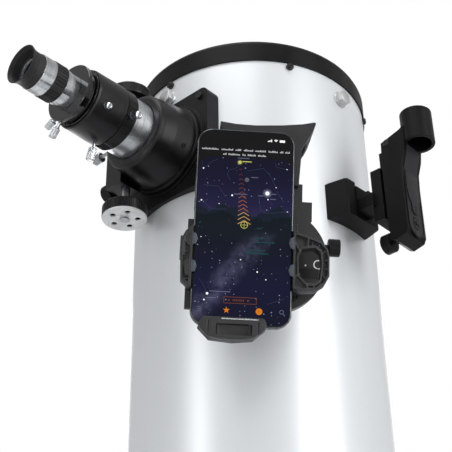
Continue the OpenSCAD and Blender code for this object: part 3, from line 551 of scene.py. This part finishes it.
def lathe(name, steps, sides=96, bore=False):    # (radius, height) steps, extruded one after another
    clear()
    radius, height = steps[0]
    bpy.ops.mesh.primitive_circle_add(vertices=sides, radius=radius, fill_type="NGON", location=(0, 0, height))
    piece = bpy.context.object
    piece.name = name
    bpy.ops.object.transform_apply(location=True)
    bpy.ops.object.mode_set(mode="EDIT")
    bpy.ops.mesh.select_all(action="SELECT")
    for nextRadius, nextHeight in steps[1:]:
        bpy.ops.mesh.extrude_region_move(TRANSFORM_OT_translate={"value": (0, 0, nextHeight - height)})
        bpy.ops.transform.resize(value=(nextRadius / radius, nextRadius / radius, 1))
        radius, height = nextRadius, nextHeight
    bpy.ops.object.mode_set(mode="OBJECT")
    if bore:    # both end caps go, and a wall joins the two open rims
        pickFaces(piece, lambda centre, normal: centre.xy.length < 0.001)
        bpy.ops.mesh.delete(type="FACE")
        bpy.ops.mesh.select_mode(type="EDGE")
        bpy.ops.mesh.select_non_manifold()
        bpy.ops.mesh.bridge_edge_loops()
        bpy.ops.object.mode_set(mode="OBJECT")
    tidyNormals(piece)
    return piece


def block(name, low, high, softness=0.0, segments=2):
    clear()
    low, high = Vector(low), Vector(high)
    bpy.ops.mesh.primitive_cube_add(size=1, location=(low + high) / 2, scale=high - low)
    piece = bpy.context.object
    piece.name = name
    bpy.ops.object.transform_apply(location=True, rotation=True, scale=True)
    if softness:
        applyModifier(piece, "BEVEL", width=softness, segments=segments, limit_method="ANGLE")
    return piece


def plate(name, outline, near, far, softness=0.0, segments=2):    # outline in X and Z, thickness along Y
    clear()
    bpy.ops.mesh.primitive_circle_add(vertices=len(outline), radius=1, fill_type="NGON")
    piece = bpy.context.object
    piece.name = name
    for vertex, (x, z) in zip(piece.data.vertices, outline):
        vertex.co = (x, near, z)
    bpy.ops.object.mode_set(mode="EDIT")
    bpy.ops.mesh.select_all(action="SELECT")
    bpy.ops.mesh.extrude_region_move(TRANSFORM_OT_translate={"value": (0, far - near, 0)})
    bpy.ops.object.mode_set(mode="OBJECT")
    tidyNormals(piece)
    if softness:
        applyModifier(piece, "BEVEL", width=softness, segments=segments, limit_method="ANGLE",
                      angle_limit=math.radians(40))
    return piece


def arc(centre, radius, start, end, steps):    # points of an arc, in degrees
    return [(centre[0] + radius * math.cos(math.radians(start + (end - start) * i / steps)),
             centre[1] + radius * math.sin(math.radians(start + (end - start) * i / steps)))
            for i in range(steps + 1)]


def roundedOutline(left, right, low, high, radius, steps=8):
    return (arc((right - radius, high - radius), radius, 0, 90, steps)
            + arc((left + radius, high - radius), radius, 90, 180, steps)
            + arc((left + radius, low + radius), radius, 180, 270, steps)
            + arc((right - radius, low + radius), radius, 270, 360, steps))


def strip(points, width):    # outline of a line of even width through the points
    sides = ([], [])
    for i, here in enumerate(points):
        before, after = points[max(i - 1, 0)], points[min(i + 1, len(points) - 1)]
        along = Vector((after[0] - before[0], after[1] - before[1])).normalized()
        for side, sign in zip(sides, (1, -1)):
            side.append((here[0] - sign * along.y * width / 2, here[1] + sign * along.x * width / 2))
    return sides[0] + sides[1][::-1]


def cutOut(piece, cutter):
    applyModifier(piece, "BOOLEAN", object=cutter, operation="DIFFERENCE", solver="EXACT")
    bpy.data.objects.remove(cutter, do_unlink=True)
    return piece


def joined(name, pieces):
    clear()
    for piece in pieces:
        piece.select_set(True)
    bpy.context.view_layer.objects.active = pieces[0]
    if len(pieces) > 1:
        bpy.ops.object.join()
    pieces[0].name = name
    return pieces[0]


def copied(piece, move):    # a copy with its own mesh, moved by a matrix
    made = piece.copy()
    made.data = piece.data.copy()
    bpy.context.scene.collection.objects.link(made)
    made.data.transform(move)
    return made


def settle(piece, place, body, finish, angle=30, stands=()):    # into the part's frame, finished, on its body
    piece.data.transform(place)
    if place.determinant() < 0:
        piece.data.flip_normals()
    only(piece)
    bpy.ops.object.shade_smooth_by_angle(angle=math.radians(angle))
    piece.data.materials.clear()
    piece.data.materials.append(finishes[finish])
    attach(piece, body)
    if stands:
        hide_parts(*stands)
    return piece


def fluted(piece, low, high, reach, depth, margin=0.12):    # sinks every other side face between two heights
    angleStep = 360 / sum(1 for v in piece.data.vertices if abs(v.co.z - piece.data.vertices[0].co.z) < 1e-4)

    def isFlute(centre, normal):
        turnHere = math.degrees(math.atan2(centre.y, centre.x)) % 360
        return (low < centre.z < high and centre.xy.length > reach and abs(normal.z) < 0.2
                and int(turnHere / angleStep) % 2 == 0)
    pickFaces(piece, isFlute)
    bpy.ops.mesh.inset(thickness=margin, depth=-depth, use_individual=True)
    bpy.ops.object.mode_set(mode="OBJECT")
    return piece


def along(place, x, y, z, axis=(0, 0, 1)):    # a frame whose Z runs along an axis of a group's frame
    return place @ Matrix.Translation((x, y, z)) @ Vector(axis).to_track_quat("Z", "Y").to_matrix().to_4x4()


# Focuser and eyepiece.
focusKnob = {"ribs": 56, "holes": 5, "holeRadius": 2.6, "holeRing": 12.2,
             "axis": (-32, 143.6), "lower": -58.1, "upper": 62.3}
rims, faces = [], []
for y, out in ((focusKnob["lower"], -1), (focusKnob["upper"], 1)):
    rim = lathe("rim", [(4.1, 0.1), (18.8, 0), (20.2, 0.5), (20.9, 1.5), (20.9, 11.0), (20.5, 11.3), (4.1, 11.3)],
                sides=2 * focusKnob["ribs"])
    fluted(rim, 2, 11, 20.5, 0.55)
    face = lathe("face", [(4.15, 11.35), (20.5, 11.35), (20.7, 11.7), (20.2, 12.55), (5.2, 12.55), (4.6, 12.3),
                          (4.15, 12.3)], sides=72)
    for n in range(focusKnob["holes"]):
        turnHere = math.radians(30 + 360 / focusKnob["holes"] * n)
        spot = (focusKnob["holeRing"] * math.cos(turnHere), focusKnob["holeRing"] * math.sin(turnHere))
        for piece in (rim, face):
            clear()
            bpy.ops.mesh.primitive_cylinder_add(vertices=24, radius=focusKnob["holeRadius"], depth=6,
                                                location=(*spot, 11.5))
            cutOut(piece, bpy.context.object)
    place = along(focuserFrame, focusKnob["axis"][0], y, focusKnob["axis"][1], (0, out, 0))
    rim.data.transform(place)
    face.data.transform(place)
    rims.append(rim)
    faces.append(face)
settle(joined("focusKnobRims", rims), Matrix.Identity(4), "focus_drive", "blackAnodised",
       stands=["focus_knobs"])
settle(joined("focusKnobFaces", faces), Matrix.Identity(4), "focus_drive", "knobFace")

# Thumbscrews: place along the focuser, angle round it, tip, shoulder, end and head radius.
thumbscrews = {
    "adapter_screw_1": (236.6, 206.6, 16.4, 30, 39, 3.3),
    "adapter_screw_2": (236.6, 229.2, 16.4, 32, 42, 3.3),
    "clamp_screw_1": (203, 252, 25.8, 35, 47, 3.8),
    "clamp_screw_2": (221, -31, 25.8, 29.6, 35, 3.0),
    "clamp_screw_3": (194, -24, 25.8, 33, 42, 3.6),
}
for name, (s, angle, tip, shoulder, end, head) in thumbscrews.items():
    screw = lathe("screw", [
        (1.1, tip), (1.45, tip + 0.4), (1.45, shoulder - 1.2), (2.0, shoulder - 1), (2.0, shoulder),
        (head - 0.5, shoulder), (head, shoulder + 0.5), (head, end - 0.9), (head * 0.9, end - 0.3),
        (head * 0.6, end), (head * 0.55, end - 0.25), (0.4, end - 0.25)], sides=48)
    fluted(screw, shoulder + 0.6, end - 1, head * 0.9, 0.22, 0.05)
    reach = Vector((math.cos(math.radians(angle)), math.sin(math.radians(angle)), 0))
    settle(screw, along(focuserFrame, 0, 0, s, reach), name, "chromePlate", stands=[name])

grip = lathe("eyepieceGrip", [(14.7, 256.9), (16.6, 256.9), (17.35, 257.4), (17.35, 269.0), (16.6, 269.5),
                              (14.7, 269.5)], sides=128, bore=True)
fluted(grip, 257.6, 269, 16.9, 0.5, 0.1)
settle(grip, focuserFrame, "eyepiece", "blackRubber", stands=["eyepiece_grip"])

# Fine ribs where the clamp screws on to the drawtube, and thin bright lines round the barrel.
clampRibs = lathe("clampRibs", [(28.45, 187.2), (29.1, 187.2), (29.1, 197.6), (28.45, 197.6)], sides=180, bore=True)
fluted(clampRibs, 187.6, 197, 29, 0.45, 0.12)
settle(clampRibs, focuserFrame, "drawtube", "blackAnodised")
clampLip = lathe("clampLip", [(28.6, 198.3), (29.35, 198.9), (29.5, 199.6), (29.45, 200.2), (28.9, 200.4)],
                 sides=120, bore=True)
settle(clampLip, focuserFrame, "drawtube", "blackAnodised")
housingLip = lathe("housingLip", [(28.3, 165.9), (33.9, 165.9), (34.3, 166.3), (33.8, 166.6), (28.3, 166.6)],
                   sides=120, bore=True)
settle(housingLip, focuserFrame, "optical_tube", "blackAnodised")

tension = lathe("tensionKnob", [(1.95, 37.2), (1.95, 47.5), (8.2, 47.5), (9, 48.3), (9, 57.2), (8.2, 58), (5, 58),
                                (4.6, 57.4), (0.6, 57.4)], sides=72)
fluted(tension, 48.5, 57, 8.6, 0.45, 0.08)
settle(tension, along(focuserFrame, 0, -33, 143.6, (-1, 0, 0)), "tension_knob", "knobAbs",
       stands=["tension_knob"])
lock = lathe("lockScrew", [(1.95, 38.7), (1.95, 60), (4.4, 60), (5, 60.6), (5, 69.2), (4.4, 70), (0.8, 70)],
             sides=56)
fluted(lock, 60.8, 69, 4.8, 0.3, 0.06)
settle(lock, along(focuserFrame, 0, 9, 150.5, (-1, 0, 0)), "lock_screw", "zincSteel",
       stands=["lock_screw"])
print("focuser and eyepiece pieces made")

# Cap nuts and springs on the tube.
capNut = lathe("capNut", [(8.5, 0.0), (8.5, 2.4), (8.1, 3.1), (7.6, 3.2)], sides=48)
hexagon = lathe("hexagon", [(8.1, 2.9), (8.1, 8.0), (7.2, 9.1), (5.6, 9.4), (0.5, 9.5)], sides=6)
applyModifier(hexagon, "BEVEL", width=0.35, segments=3, limit_method="ANGLE")
capNut = joined("capNut", [capNut, hexagon])
nuts = []
for n in range(4):
    place = along(tubeFrame(layout["spiderAngle"] + 90 * n, layout["spiderHeight"]), 0, 0, 116.1)
    nuts.append(copied(capNut, place @ turn(12 * n, "Z")))
bpy.data.objects.remove(capNut, do_unlink=True)
settle(joined("spiderCapNuts", nuts), Matrix.Identity(4), "optical_tube", "satinNickel",
       stands=["spider_nuts"])

spring = {"coil": 6.3, "wire": 0.85, "turns": 7, "low": 101.9, "high": 134.1}
springs = []
for n in range(3):
    clear()
    bpy.ops.mesh.primitive_circle_add(vertices=10, radius=spring["wire"], rotation=(math.radians(90), 0, 0),
                                      location=(spring["coil"], 0, spring["low"]))
    coil = bpy.context.object
    bpy.ops.object.transform_apply(location=True, rotation=True)
    applyModifier(coil, "SCREW", angle=math.radians(360), iterations=spring["turns"], steps=28, render_steps=28,
                  screw_offset=(spring["high"] - spring["low"]) / spring["turns"])
    only(coil)
    bpy.ops.object.mode_set(mode="EDIT")
    bpy.ops.mesh.select_mode(type="EDGE")
    bpy.ops.mesh.select_all(action="DESELECT")
    bpy.ops.mesh.select_non_manifold()
    bpy.ops.mesh.edge_face_add()
    bpy.ops.object.mode_set(mode="OBJECT")
    only(coil)
    bpy.ops.object.mode_set(mode="EDIT")
    bpy.ops.mesh.select_mode(type="EDGE")
    bpy.ops.mesh.select_all(action="SELECT")
    bpy.ops.mesh.fill_holes(sides=0)
    bpy.ops.object.mode_set(mode="OBJECT")
    tidyNormals(coil)
    turnHere = math.radians(90 + 120 * n)
    coil.data.transform(Matrix.Translation((88 * math.cos(turnHere), 88 * math.sin(turnHere), 0)))
    springs.append(coil)
settle(joined("collimationCoils", springs), standFrame, "optical_tube", "zincSteel",
       stands=["collimation_springs"])
print("nuts and springs made")

# The phone, with its display drawn as thin marks.
phone = {"width": 78.1, "height": 160.8, "thick": 7.8, "corner": 12.0, "rim": 1.05, "border": 1.75}
halfWide, halfHigh = phone["width"] / 2, phone["height"] / 2
band = plate("phoneBand", roundedOutline(-halfWide, halfWide, -halfHigh, halfHigh, phone["corner"], 12),
             0.12, phone["thick"], 1.3, 3)
settle(band, dockFrame, "phone", "steelBand", stands=["phone"])
inner = phone["rim"]
glass = plate("phoneGlass", roundedOutline(-halfWide + inner, halfWide - inner, -halfHigh + inner, halfHigh - inner,
                                           phone["corner"] - inner, 12), 0.0, 0.5, 0.1, 2)
settle(glass, dockFrame, "phone", "blackGlass")
inner = phone["border"]
display = plate("phoneDisplay", roundedOutline(-halfWide + inner, halfWide - inner, -halfHigh + inner, 56.6, 9.5,
                                               8), -0.04, 0.2)
settle(display, dockFrame, "phone", "starChart")
cameraPlate = plate("phoneCameraPlate", roundedOutline(9, 34, 44, 72, 6, 6), phone["thick"] - 0.5, 9.2, 0.6, 2)
lenses = [lathe("lens", [(5.2, 0), (5.2, 1.0), (4.6, 1.2), (4.4, 0.9), (0.5, 0.8)], sides=32) for n in range(2)]
for lens, v in zip(lenses, (51, 65)):
    lens.data.transform(along(Matrix.Identity(4), 17 if v < 60 else 26, 8.8, v, (0, 1, 0)))
settle(joined("phoneCameras", [cameraPlate] + lenses), dockFrame, "phone", "blackGlass")
buttons = [block("button", (side * halfWide - 0.35, 2.9, low), (side * halfWide + 0.35, 4.9, high), 0.3)
           for side, low, high in ((-1, 26, 36), (-1, 12, 22), (1, 16, 34))]
settle(joined("phoneButtons", buttons), dockFrame, "phone", "steelBand")


def drawn(name, outlines, finish, near=-0.09, far=-0.05):    # thin marks on the display
    marks = [plate("mark", outline, near, far) for outline in outlines]
    return settle(joined(name, marks), dockFrame, "phone", finish)


def ringOutlines(u, v, radius, width, sides=28):
    return [strip(arc((u, v), radius, start, start + 181, sides // 2), width) for start in (0, 180)]


chevrons = {"count": 13, "top": 47.0, "low": 4.4, "narrow": 1.0, "wide": 5.0}
arrows = []
for n in range(chevrons["count"]):
    share = n / (chevrons["count"] - 1)
    half = chevrons["narrow"] + (chevrons["wide"] - chevrons["narrow"]) * share
    v = chevrons["top"] + (chevrons["low"] - chevrons["top"]) * share ** 0.92
    drop = half * 0.62
    u = -4 + 4.2 * share
    arrows.append(strip([(u - half, v - drop), (u, v), (u + half, v - drop)], 0.3 + 0.35 * share))
drawn("guideArrowsFar", arrows[:6], "displayRed")
drawn("guideArrowsNear", arrows[6:10], "displayOrange")
drawn("guideArrowsLast", arrows[10:], "displayAmber")
target = ringOutlines(0.3, 0.6, 2.7, 0.4) + [strip([(0.3, -2.4), (0.3, 3.6)], 0.3),
                                             strip([(-2.7, 0.6), (3.3, 0.6)], 0.3)]
drawn("targetMark", target, "displayYellow", -0.12, -0.08)
drawn("orangeIcons", ringOutlines(13.9, -68, 1.5, 2.2) + [
    [(-11.1 + r * math.sin(math.radians(36 * i)), -68 + r * math.cos(math.radians(36 * i)))
     for i, r in ((i, 2.7 if i % 2 == 0 else 1.1) for i in range(10))]], "displayIcon")
drawn("timeBox", [strip([(-13.6, -57.6), (11.8, -57.6)], 0.4), strip([(-13.6, -62.4), (11.8, -62.4)], 0.4),
                  strip([(-13.4, -62.6), (-13.4, -57.4)], 0.4), strip([(11.6, -62.6), (11.6, -57.4)], 0.4),
                  strip([(-10, -60), (-8.8, -60)], 1.0), strip([(4.4, -60), (6.0, -60)], 1.0)]
      + [strip([(-6.2 + 1.3 * n, -60.8 + 0.2 * (n % 2)), (-6.2 + 1.3 * n, -59.2)], 0.6) for n in range(7)],
      "displayRust")
drawn("moonMark", [arc((1.3, 38.2), 1.8, 0, 345, 22)], "displayGrey")
drawn("yellowStar", [arc((-4.8, 52.6), 1.35, 0, 345, 20),
                     strip([(-2.8, 53.4), (4.6, 53.4)], 0.7)], "displayYellow")
bright = [(17.8, 27.7, 1.6), (18.4, 22.6, 0.5), (-10.0, 24.6, 0.7), (-26.4, -55.6, 1.0), (-28.6, -60.6, 0.6),
          (-34, 19.4, 0.6), (11.6, -36.8, 0.6), (18.5, -42.6, 0.45), (-1.6, -27.6, 0.45), (-33.5, 46.2, 0.6),
          (33, 48.6, 0.4), (24.6, 33, 0.4), (34, 13.2, 0.35), (-20, 17.2, 0.35), (-33, -10.6, 0.35)]
drawn("brightStars", [arc((u, v), r, 0, 330, 11) for u, v, r in bright], "displayWhite")
figures = [
    [(-35, 52.5), (-33.5, 46.2), (-27, 52), (-22, 54.5)], [(23, 54), (25, 50), (33, 48.6)],
    [(1.5, 45.6), (14, 48.6), (17, 45.5), (20, 44)], [(18, 45), (21, 40), (24.6, 33)],
    [(11, 26.5), (12.6, 14), (18, 11), (34, 13.2)], [(18.4, 22.6), (22, 18.4)], [(25, 30), (31, 21)],
    [(-33, 32.5), (-21, 31.5), (-15.5, 23.5)], [(-34, 19.4), (-26, 12.4), (-14, 13)],
    [(-14.5, 42), (-13, 46), (-8, 47)], [(-14.5, 42), (-12, 37.5)], [(20, -62), (33, -57)],
    [(-33, -44), (-29, -50), (-26.4, -55.6)]]
drawn("starFigures", [strip(points, 0.28) for points in figures], "displayBlue")
drawn("statusMarks", [
    strip([(17.4, 71.4), (17.4, 72.2)], 0.8), strip([(18.7, 71.4), (18.7, 72.8)], 0.8),
    strip([(20.0, 71.4), (20.0, 73.4)], 0.8), strip(arc((23.6, 71.2), 2.0, 50, 130, 8), 0.6),
    strip(arc((23.6, 71.2), 1.0, 50, 130, 6), 0.6), strip([(26.6, 72.3), (30.8, 72.3)], 1.9)], "displayWhite",
    -0.09, 0.1)
words = [(-35, 14), (-19.5, 10), (-8.3, 5.4), (-1.6, 8), (7.6, 9.4), (18.2, 8), (27.4, 3), (31.6, 4)]
picker = random.Random(7)
lines = []
for v, row in ((62.8, words), (58.9, ((-18, 3), (-13.8, 10), (-2.6, 3), (1.6, 7), (9.8, 7)))):
    for u, length in row:
        for n in range(int(length / 0.95)):
            tall = picker.choice((0.9, 1.1, 1.5))
            lines.append(strip([(u + 0.95 * n, v - 0.5), (u + 0.95 * n, v - 0.5 + tall)], 0.55))
drawn("messageLines", lines, "displaySilver", -0.09, 0.1)
labels = [(-6.6, 56.2, 9.4), (4.6, 40.4, 5.6), (21.4, 27.3, 3.4), (10.6, 25.4, 4), (20.0, 23.0, 4.6),
          (-8.6, 25.9, 10.4), (-24.6, -53.6, 16), (-26.6, -58.8, 7)]
drawn("skyLabels", [strip([(u, v), (u + length, v)], 0.7) for u, v, length in labels], "displayDim")
hills = [(9.4, -9.6, 8), (8.2, -12.8, 16.5), (4.2, -19.4, 13), (1.6, -22.0, 18.5)]
drawn("greenLabels", [strip([(u, v), (u + length, v)], 0.9) for u, v, length in hills]
      + [strip([(10.2, -1.6), (13.8, -1.6)], 0.8), strip([(-37 + 2.2, 0.4), (-36 + 2.2, 2)], 0.6)], "displayGreen")
drawn("cornerIcons", ringOutlines(31.2, -67.6, 1.5, 0.5)
      + [strip([(32.2, -68.8), (33.8, -70.6)], 0.6)]
      + [strip([(-33.4, -66.4 - 1.5 * n), (-30.2, -66.4 - 1.5 * n)], 0.5) for n in range(3)], "displayDim")
print("phone made")

# The clamp arms: a plate with raised rims and ribs, and grey pads that reach over the phone's edge.
clampArm = {"front": -3.3, "floor": -0.4, "back": 7.8}
leftEdge = [(-39.1, -1.5), (-41, -3), (-45, -7), (-48.8, -15), (-47.5, -46), (-41, -51.8), (-39.1, -51.8)]
rightEdge = [(39.1, -1.5), (42, -4), (52, -7), (61, -10.5), (65.8, -16), (67.4, -23), (67.4, -38), (63.8, -45),
             (57, -49.8), (45, -51.3), (39.1, -49)]
fingerHole = [(46, -17), (56, -15.6), (60.4, -19), (61.4, -29), (60, -41), (56, -44.6), (49, -44), (43.6, -38),
              (43, -24)]


def resized(outline, share):    # an outline drawn nearer to its own middle
    middle = [sum(point[axis] for point in outline) / len(outline) for axis in (0, 1)]
    return [tuple(middle[axis] + (point[axis] - middle[axis]) * share for axis in (0, 1)) for point in outline]


def armPads(side):
    return [plate("pad", [(side * 39.9, v - 5.4), (side * 36.6, v - 4), (side * 35.4, v), (side * 36.6, v + 4),
                          (side * 39.9, v + 5.4)], -3.45, -0.15, 0.6) for v in (-13, -35)]


leftParts = [
    plate("armPlate", leftEdge, clampArm["floor"], clampArm["back"], 0.4),
    cutOut(plate("armRim", leftEdge, clampArm["front"], clampArm["floor"] + 0.1, 0.5),
           plate("hole", [(-46.6, -15.6), (-46.2, -44.4), (-41.8, -48.6), (-41.2, -44), (-41.2, -8), (-44, -9)],
                 -6, 2)),
    plate("upperPaw", [(-44.8, -7.4), (-39.1, -6.2), (-39.1, -19.6), (-42, -19), (-45.4, -15.4)], -2.7, 0, 0.6),
    plate("lowerPaw", [(-46.6, -31.8), (-42, -28.6), (-39.1, -28.4), (-39.1, -42), (-44, -43.4)], -2.7, 0, 0.6),
    plate("brace", strip([(-46.4, -24.5), (-41, -22.4)], 1.1), -2.2, 0, 0.2),
    plate("brace", strip([(-46, -46), (-41.4, -44.8)], 1.0), -2.2, 0, 0.2),
    block("armBar", (-48.9, -2.8, -26.9), (-44.9, 13.5, -11.1), 0.5),
    block("armSlide", (-46, 10.1, -22.9), (-4, 13.5, -15.1), 0.4),
]
settle(joined("clampArmLeft", leftParts), dockFrame, "clamp_arm_left", "dockNylon",
       stands=["clamp_arm_left"])
settle(joined("clampPadsLeft", armPads(-1)), dockFrame, "clamp_arm_left", "padRubber")

middle = (54, -30)
ribs = []
for n in range(8):
    turnHere = math.radians(-84 + 25 * n)
    ends = [(middle[0] + reach * 0.82 * math.cos(turnHere), middle[1] + reach * 1.15 * math.sin(turnHere))
            for reach in (12.2, 16.4)]
    ribs.append(plate("rib", strip(ends, 0.9), -2.9, 0, 0.15))
floorPlate = cutOut(plate("armPlate", rightEdge, clampArm["floor"], clampArm["back"], 0.4),
                    plate("hole", fingerHole, -6, 12))
outerRim = cutOut(plate("armRim", rightEdge, clampArm["front"], clampArm["floor"] + 0.1, 0.4),
                  plate("hole", resized(rightEdge, 0.9), -6, 2))
innerRim = cutOut(plate("armRim", resized(fingerHole, 1.14), -3.0, clampArm["floor"] + 0.1, 0.3),
                  plate("hole", fingerHole, -6, 2))
struts = [plate("strut", strip(ends, width), -3.1, 0, 0.2) for ends, width in (
    ([(39.8, -11), (44.6, -20)], 1.3), ([(39.8, -6), (44, -5)], 1.3), ([(50.4, -15), (50.8, -7.6)], 1.5),
    ([(40, -40), (44.5, -37)], 1.3), ([(50.2, -44.6), (50.4, -50)], 1.5))]
rightParts = [floorPlate, outerRim, innerRim] + ribs + struts + [
    block("armBar", (39.1, 7, -48.9), (43, 13.5, -33.1), 0.4),
    block("armSlide", (4, 10.1, -44.9), (42, 13.5, -37.1), 0.4)]
settle(joined("clampArmRight", rightParts), dockFrame, "clamp_arm_right", "dockNylon",
       stands=["clamp_arm_right"])
settle(joined("clampPadsRight", armPads(1)), dockFrame, "clamp_arm_right", "padRubber")

# The tray: a lip with two posts and a sunken middle, a shelf and a slide.
lip = plate("trayLip", [(-28, -74.9), (-26.5, -74.9), (16.5, -74.9), (18, -75.6), (19.8, -80.6), (16, -86),
                        (10, -90), (2, -91.5), (-7, -91.9), (-16, -91.5), (-24, -90.2), (-30, -85),
                        (-32.8, -80.6), (-29, -75.4)], -8.9, -0.85, 0.9, 3)
cutOut(lip, block("recess", (-19, -12, -89), (8.4, -4.4, -80.2), 1.0))
for u in (-25.6, 12.4):
    cutOut(lip, block("groove", (u, -12, -88), (u + 1.6, -8.0, -78.4)))
trayParts = [lip, block("recessPost", (-18.6, -7.2, -89), (-16.6, -4, -80), 0.3),
             block("recessPost", (6, -7.2, -89), (8, -4, -80), 0.3),
             plate("trayShelf", [(-32.8, -81.3), (19.8, -81.3), (10, -89.9), (-6, -91.8), (-24, -90.2)],
                   -0.9, 9.9, 0.5),
             block("traySlide", (-14, 9.8, -87.9), (8, 13.5, -50.1), 0.4)]
settle(joined("phoneTrayLip", trayParts), dockFrame, "phone_tray", "dockNylon",
       stands=["phone_tray"])
# A thin bright chrome strip along the lip's top edge: a painted highlight that stands for a glint along the lip.
settle(block("trayPaintedGlint", (-15, -9.0, -76.9), (13, -8.7, -76.1)), dockFrame, "phone_tray",
       "chromePlate")

roller = lathe("dockRoller", [(2.45, 38.6), (2.45, 70), (6.6, 70), (7.15, 70.5), (7.15, 79), (6.6, 79.4),
                              (0.6, 79.4)], sides=60)
fluted(roller, 70.8, 78.8, 6.9, 0.5, 0.08)
settle(roller, along(dockFrame, 0, 25, -7, (1, 0, 0)), "dock_knob", "knobAbs",
       stands=["dock_knob"])

# Marks on the dock's disc seen through the finger hole: an index ring, a dot, a toothed edge and a screw below.
indexMarks = [plate("mark", strip(arc((61.6, -23), 3.5, 60, 300, 18), 0.9), 19.75, 19.95),
              plate("mark", arc((51.4, -24), 0.7, 0, 330, 11), 19.75, 19.95)]
settle(joined("dockIndexRing", indexMarks), dockFrame, "optical_tube", "ptfe")
teeth = [plate("tooth", [(42.8 + 1.9 * n, -33), (43.8 + 1.9 * n, -35), (44.7 + 1.9 * n, -33)], 19.5, 19.95)
         for n in range(10)]
settle(joined("dockToothedEdge", teeth + [block("edge", (42.8, 19.5, -33.1), (61.8, 19.95, -26.5))]), dockFrame,
       "optical_tube", "deckAbs")
head = lathe("dockScrew", [(3.2, 0), (3.2, 0.5), (2.6, 0.9), (0.4, 0.9)], sides=32)
clear()
bpy.ops.mesh.primitive_cube_add(size=1, location=(0, 0, 1), scale=(0.6, 3.4, 0.9))
cutOut(head, bpy.context.object)
settle(head, along(dockFrame, 43.5, 19.95, -51, (0, -1, 0)), "optical_tube", "blackOxide")
print("dock pieces made")


def deckPlate(name, outline, low, high, softness=0.0):    # outline round the tube and up, thickness outwards
    piece = plate(name, outline, -high, -low, softness)
    piece.data.transform(turn(-90, "X"))
    return piece


def onFinder(piece, finish):
    return settle(piece, finderFrame, "finder_body", finish)


# Finder: an inlaid deck, a battery cover that ends in a tongue, a switch slot, screws and a tilted window.
deckEdge = ([(10.6, -137.5), (-10.6, -137.5), (-11.2, -150), (-11.4, -188)]
            + arc((0, -193), 11.4, 180, 360, 14) + [(11.2, -150)])
onFinder(cutOut(deckPlate("deckRim", deckEdge, 183.2, 184.15, 0.2),
                deckPlate("hole", resized(deckEdge, 0.93), 180, 190)), "finderAbs")
onFinder(deckPlate("finderDeck", resized(deckEdge, 0.94), 183.1, 183.65), "deckAbs")
slope = plate("deckSlope", [(-137.6, 184.1), (-134, 184.7), (-122, 188.5), (-113, 189.8), (-113, 189.2),
                            (-122, 187.6), (-134, 183.8), (-137.6, 183.4)], -9.8, 9.8)
slope.data.transform(turn(90, "Z"))
onFinder(slope, "deckAbs")
cover = deckPlate("batteryCover", [(9, -138.5), (-9, -138.5), (-9.4, -158), (-7.6, -166), (-4.6, -171)]
                  + arc((0.4, -176.6), 5.0, 170, 350, 10) + [(6.6, -170), (9.2, -164)], 183.5, 184.85, 0.35)
for h in (-173.4, -175.4, -177.4):
    cutOut(cover, block("grip", (-1.6, h - 0.35, 184.4), (2.6, h + 0.35, 186)))
onFinder(cover, "deckAbs")
slotEdge = [(-3.4, -184.4), (3.2, -184.4), (4.0, -187), (4.0, -194), (1.2, -197), (-3.4, -194)]
slotRim = cutOut(deckPlate("slotRim", slotEdge, 183.5, 184.2), deckPlate("hole", resized(slotEdge, 0.78), 180, 190))
onFinder(slotRim, "deckAbs")
onFinder(deckPlate("switchSlot", resized(slotEdge, 0.8), 183.4, 183.72), "blackOxide")
onFinder(block("switchPeg", (-0.8, -191.6, 183.6), (2.2, -188, 184.8), 0.3), "deckAbs")
onFinder(block("sideSwitch", (13.8, -173, 177), (15.1, -166, 182.2), 0.5), "knobAbs")
heads = []
for place, radius in ((along(Matrix.Identity(4), 0, -200.6, 183.3, (0, 0, 1)), 3.1),
                      (along(Matrix.Identity(4), -13.9, -105, 171, (-1, 0, 0)), 3.4)):
    head = lathe("head", [(radius, 0), (radius, 0.5), (radius - 0.5, 1.0), (0.4, 1.1)], sides=36)
    for quarter in (0, 90):
        clear()
        bpy.ops.mesh.primitive_cube_add(size=1, location=(0, 0, 1.2), scale=(0.7, 3.2, 0.9),
                                        rotation=(0, 0, math.radians(quarter)))
        cutOut(head, bpy.context.object)
    head.data.transform(place)
    heads.append(head)
onFinder(joined("finderScrews", heads), "blackOxide")
window = lathe("finderWindow", [(11.35, 0), (11.35, 1.4)], sides=64)
settle(window, finderFrame @ Matrix.Translation((0, -92, 196.5)) @ turn(90, "X"), "finder_body",
       "reflexGlass")
fineKnob = lathe("finderKnob", [(1.95, 171.4), (1.95, 159.0), (8.4, 159.0), (8.9, 158.4), (8.9, 150.7),
                                (8.3, 150.1), (0.6, 150.1)], sides=72)
fluted(fineKnob, 151, 158.2, 8.5, 0.5, 0.06)
settle(fineKnob, finderFrame @ Matrix.Translation((0, -199, 0)), "finder_knob", "knobAbs",
       stands=["finder_knob"])
print("finder pieces made")

# Pale studio floor: a big sheet.
bpy.ops.object.select_all(action="DESELECT")
bpy.ops.mesh.primitive_plane_add(size=24, location=(0, 0, -0.0005))
floor = bpy.context.object
floor.name = "floor"
bpy.ops.object.transform_apply(location=True)
floorMaterial, floorTree = newMaterial("paleFloor")
floorPoints = localPoints(floorTree, standFrame)
mottle = addNode(floorTree, "ShaderNodeTexNoise", {"Vector": floorPoints, "Scale": 0.01, "Detail": 3}).outputs[0]
floorTone = addNode(floorTree, "ShaderNodeMix", {0: mottle, 6: colour("#e9e9e9"), 7: colour("#efefef")},
                    data_type="RGBA").outputs[2]
floorShader = addNode(floorTree, "ShaderNodeBsdfPrincipled", {"Base Color": floorTone, "Roughness": 0.7}).outputs[0]
floor.data.materials.append(closeMaterial(floorMaterial, floorShader))
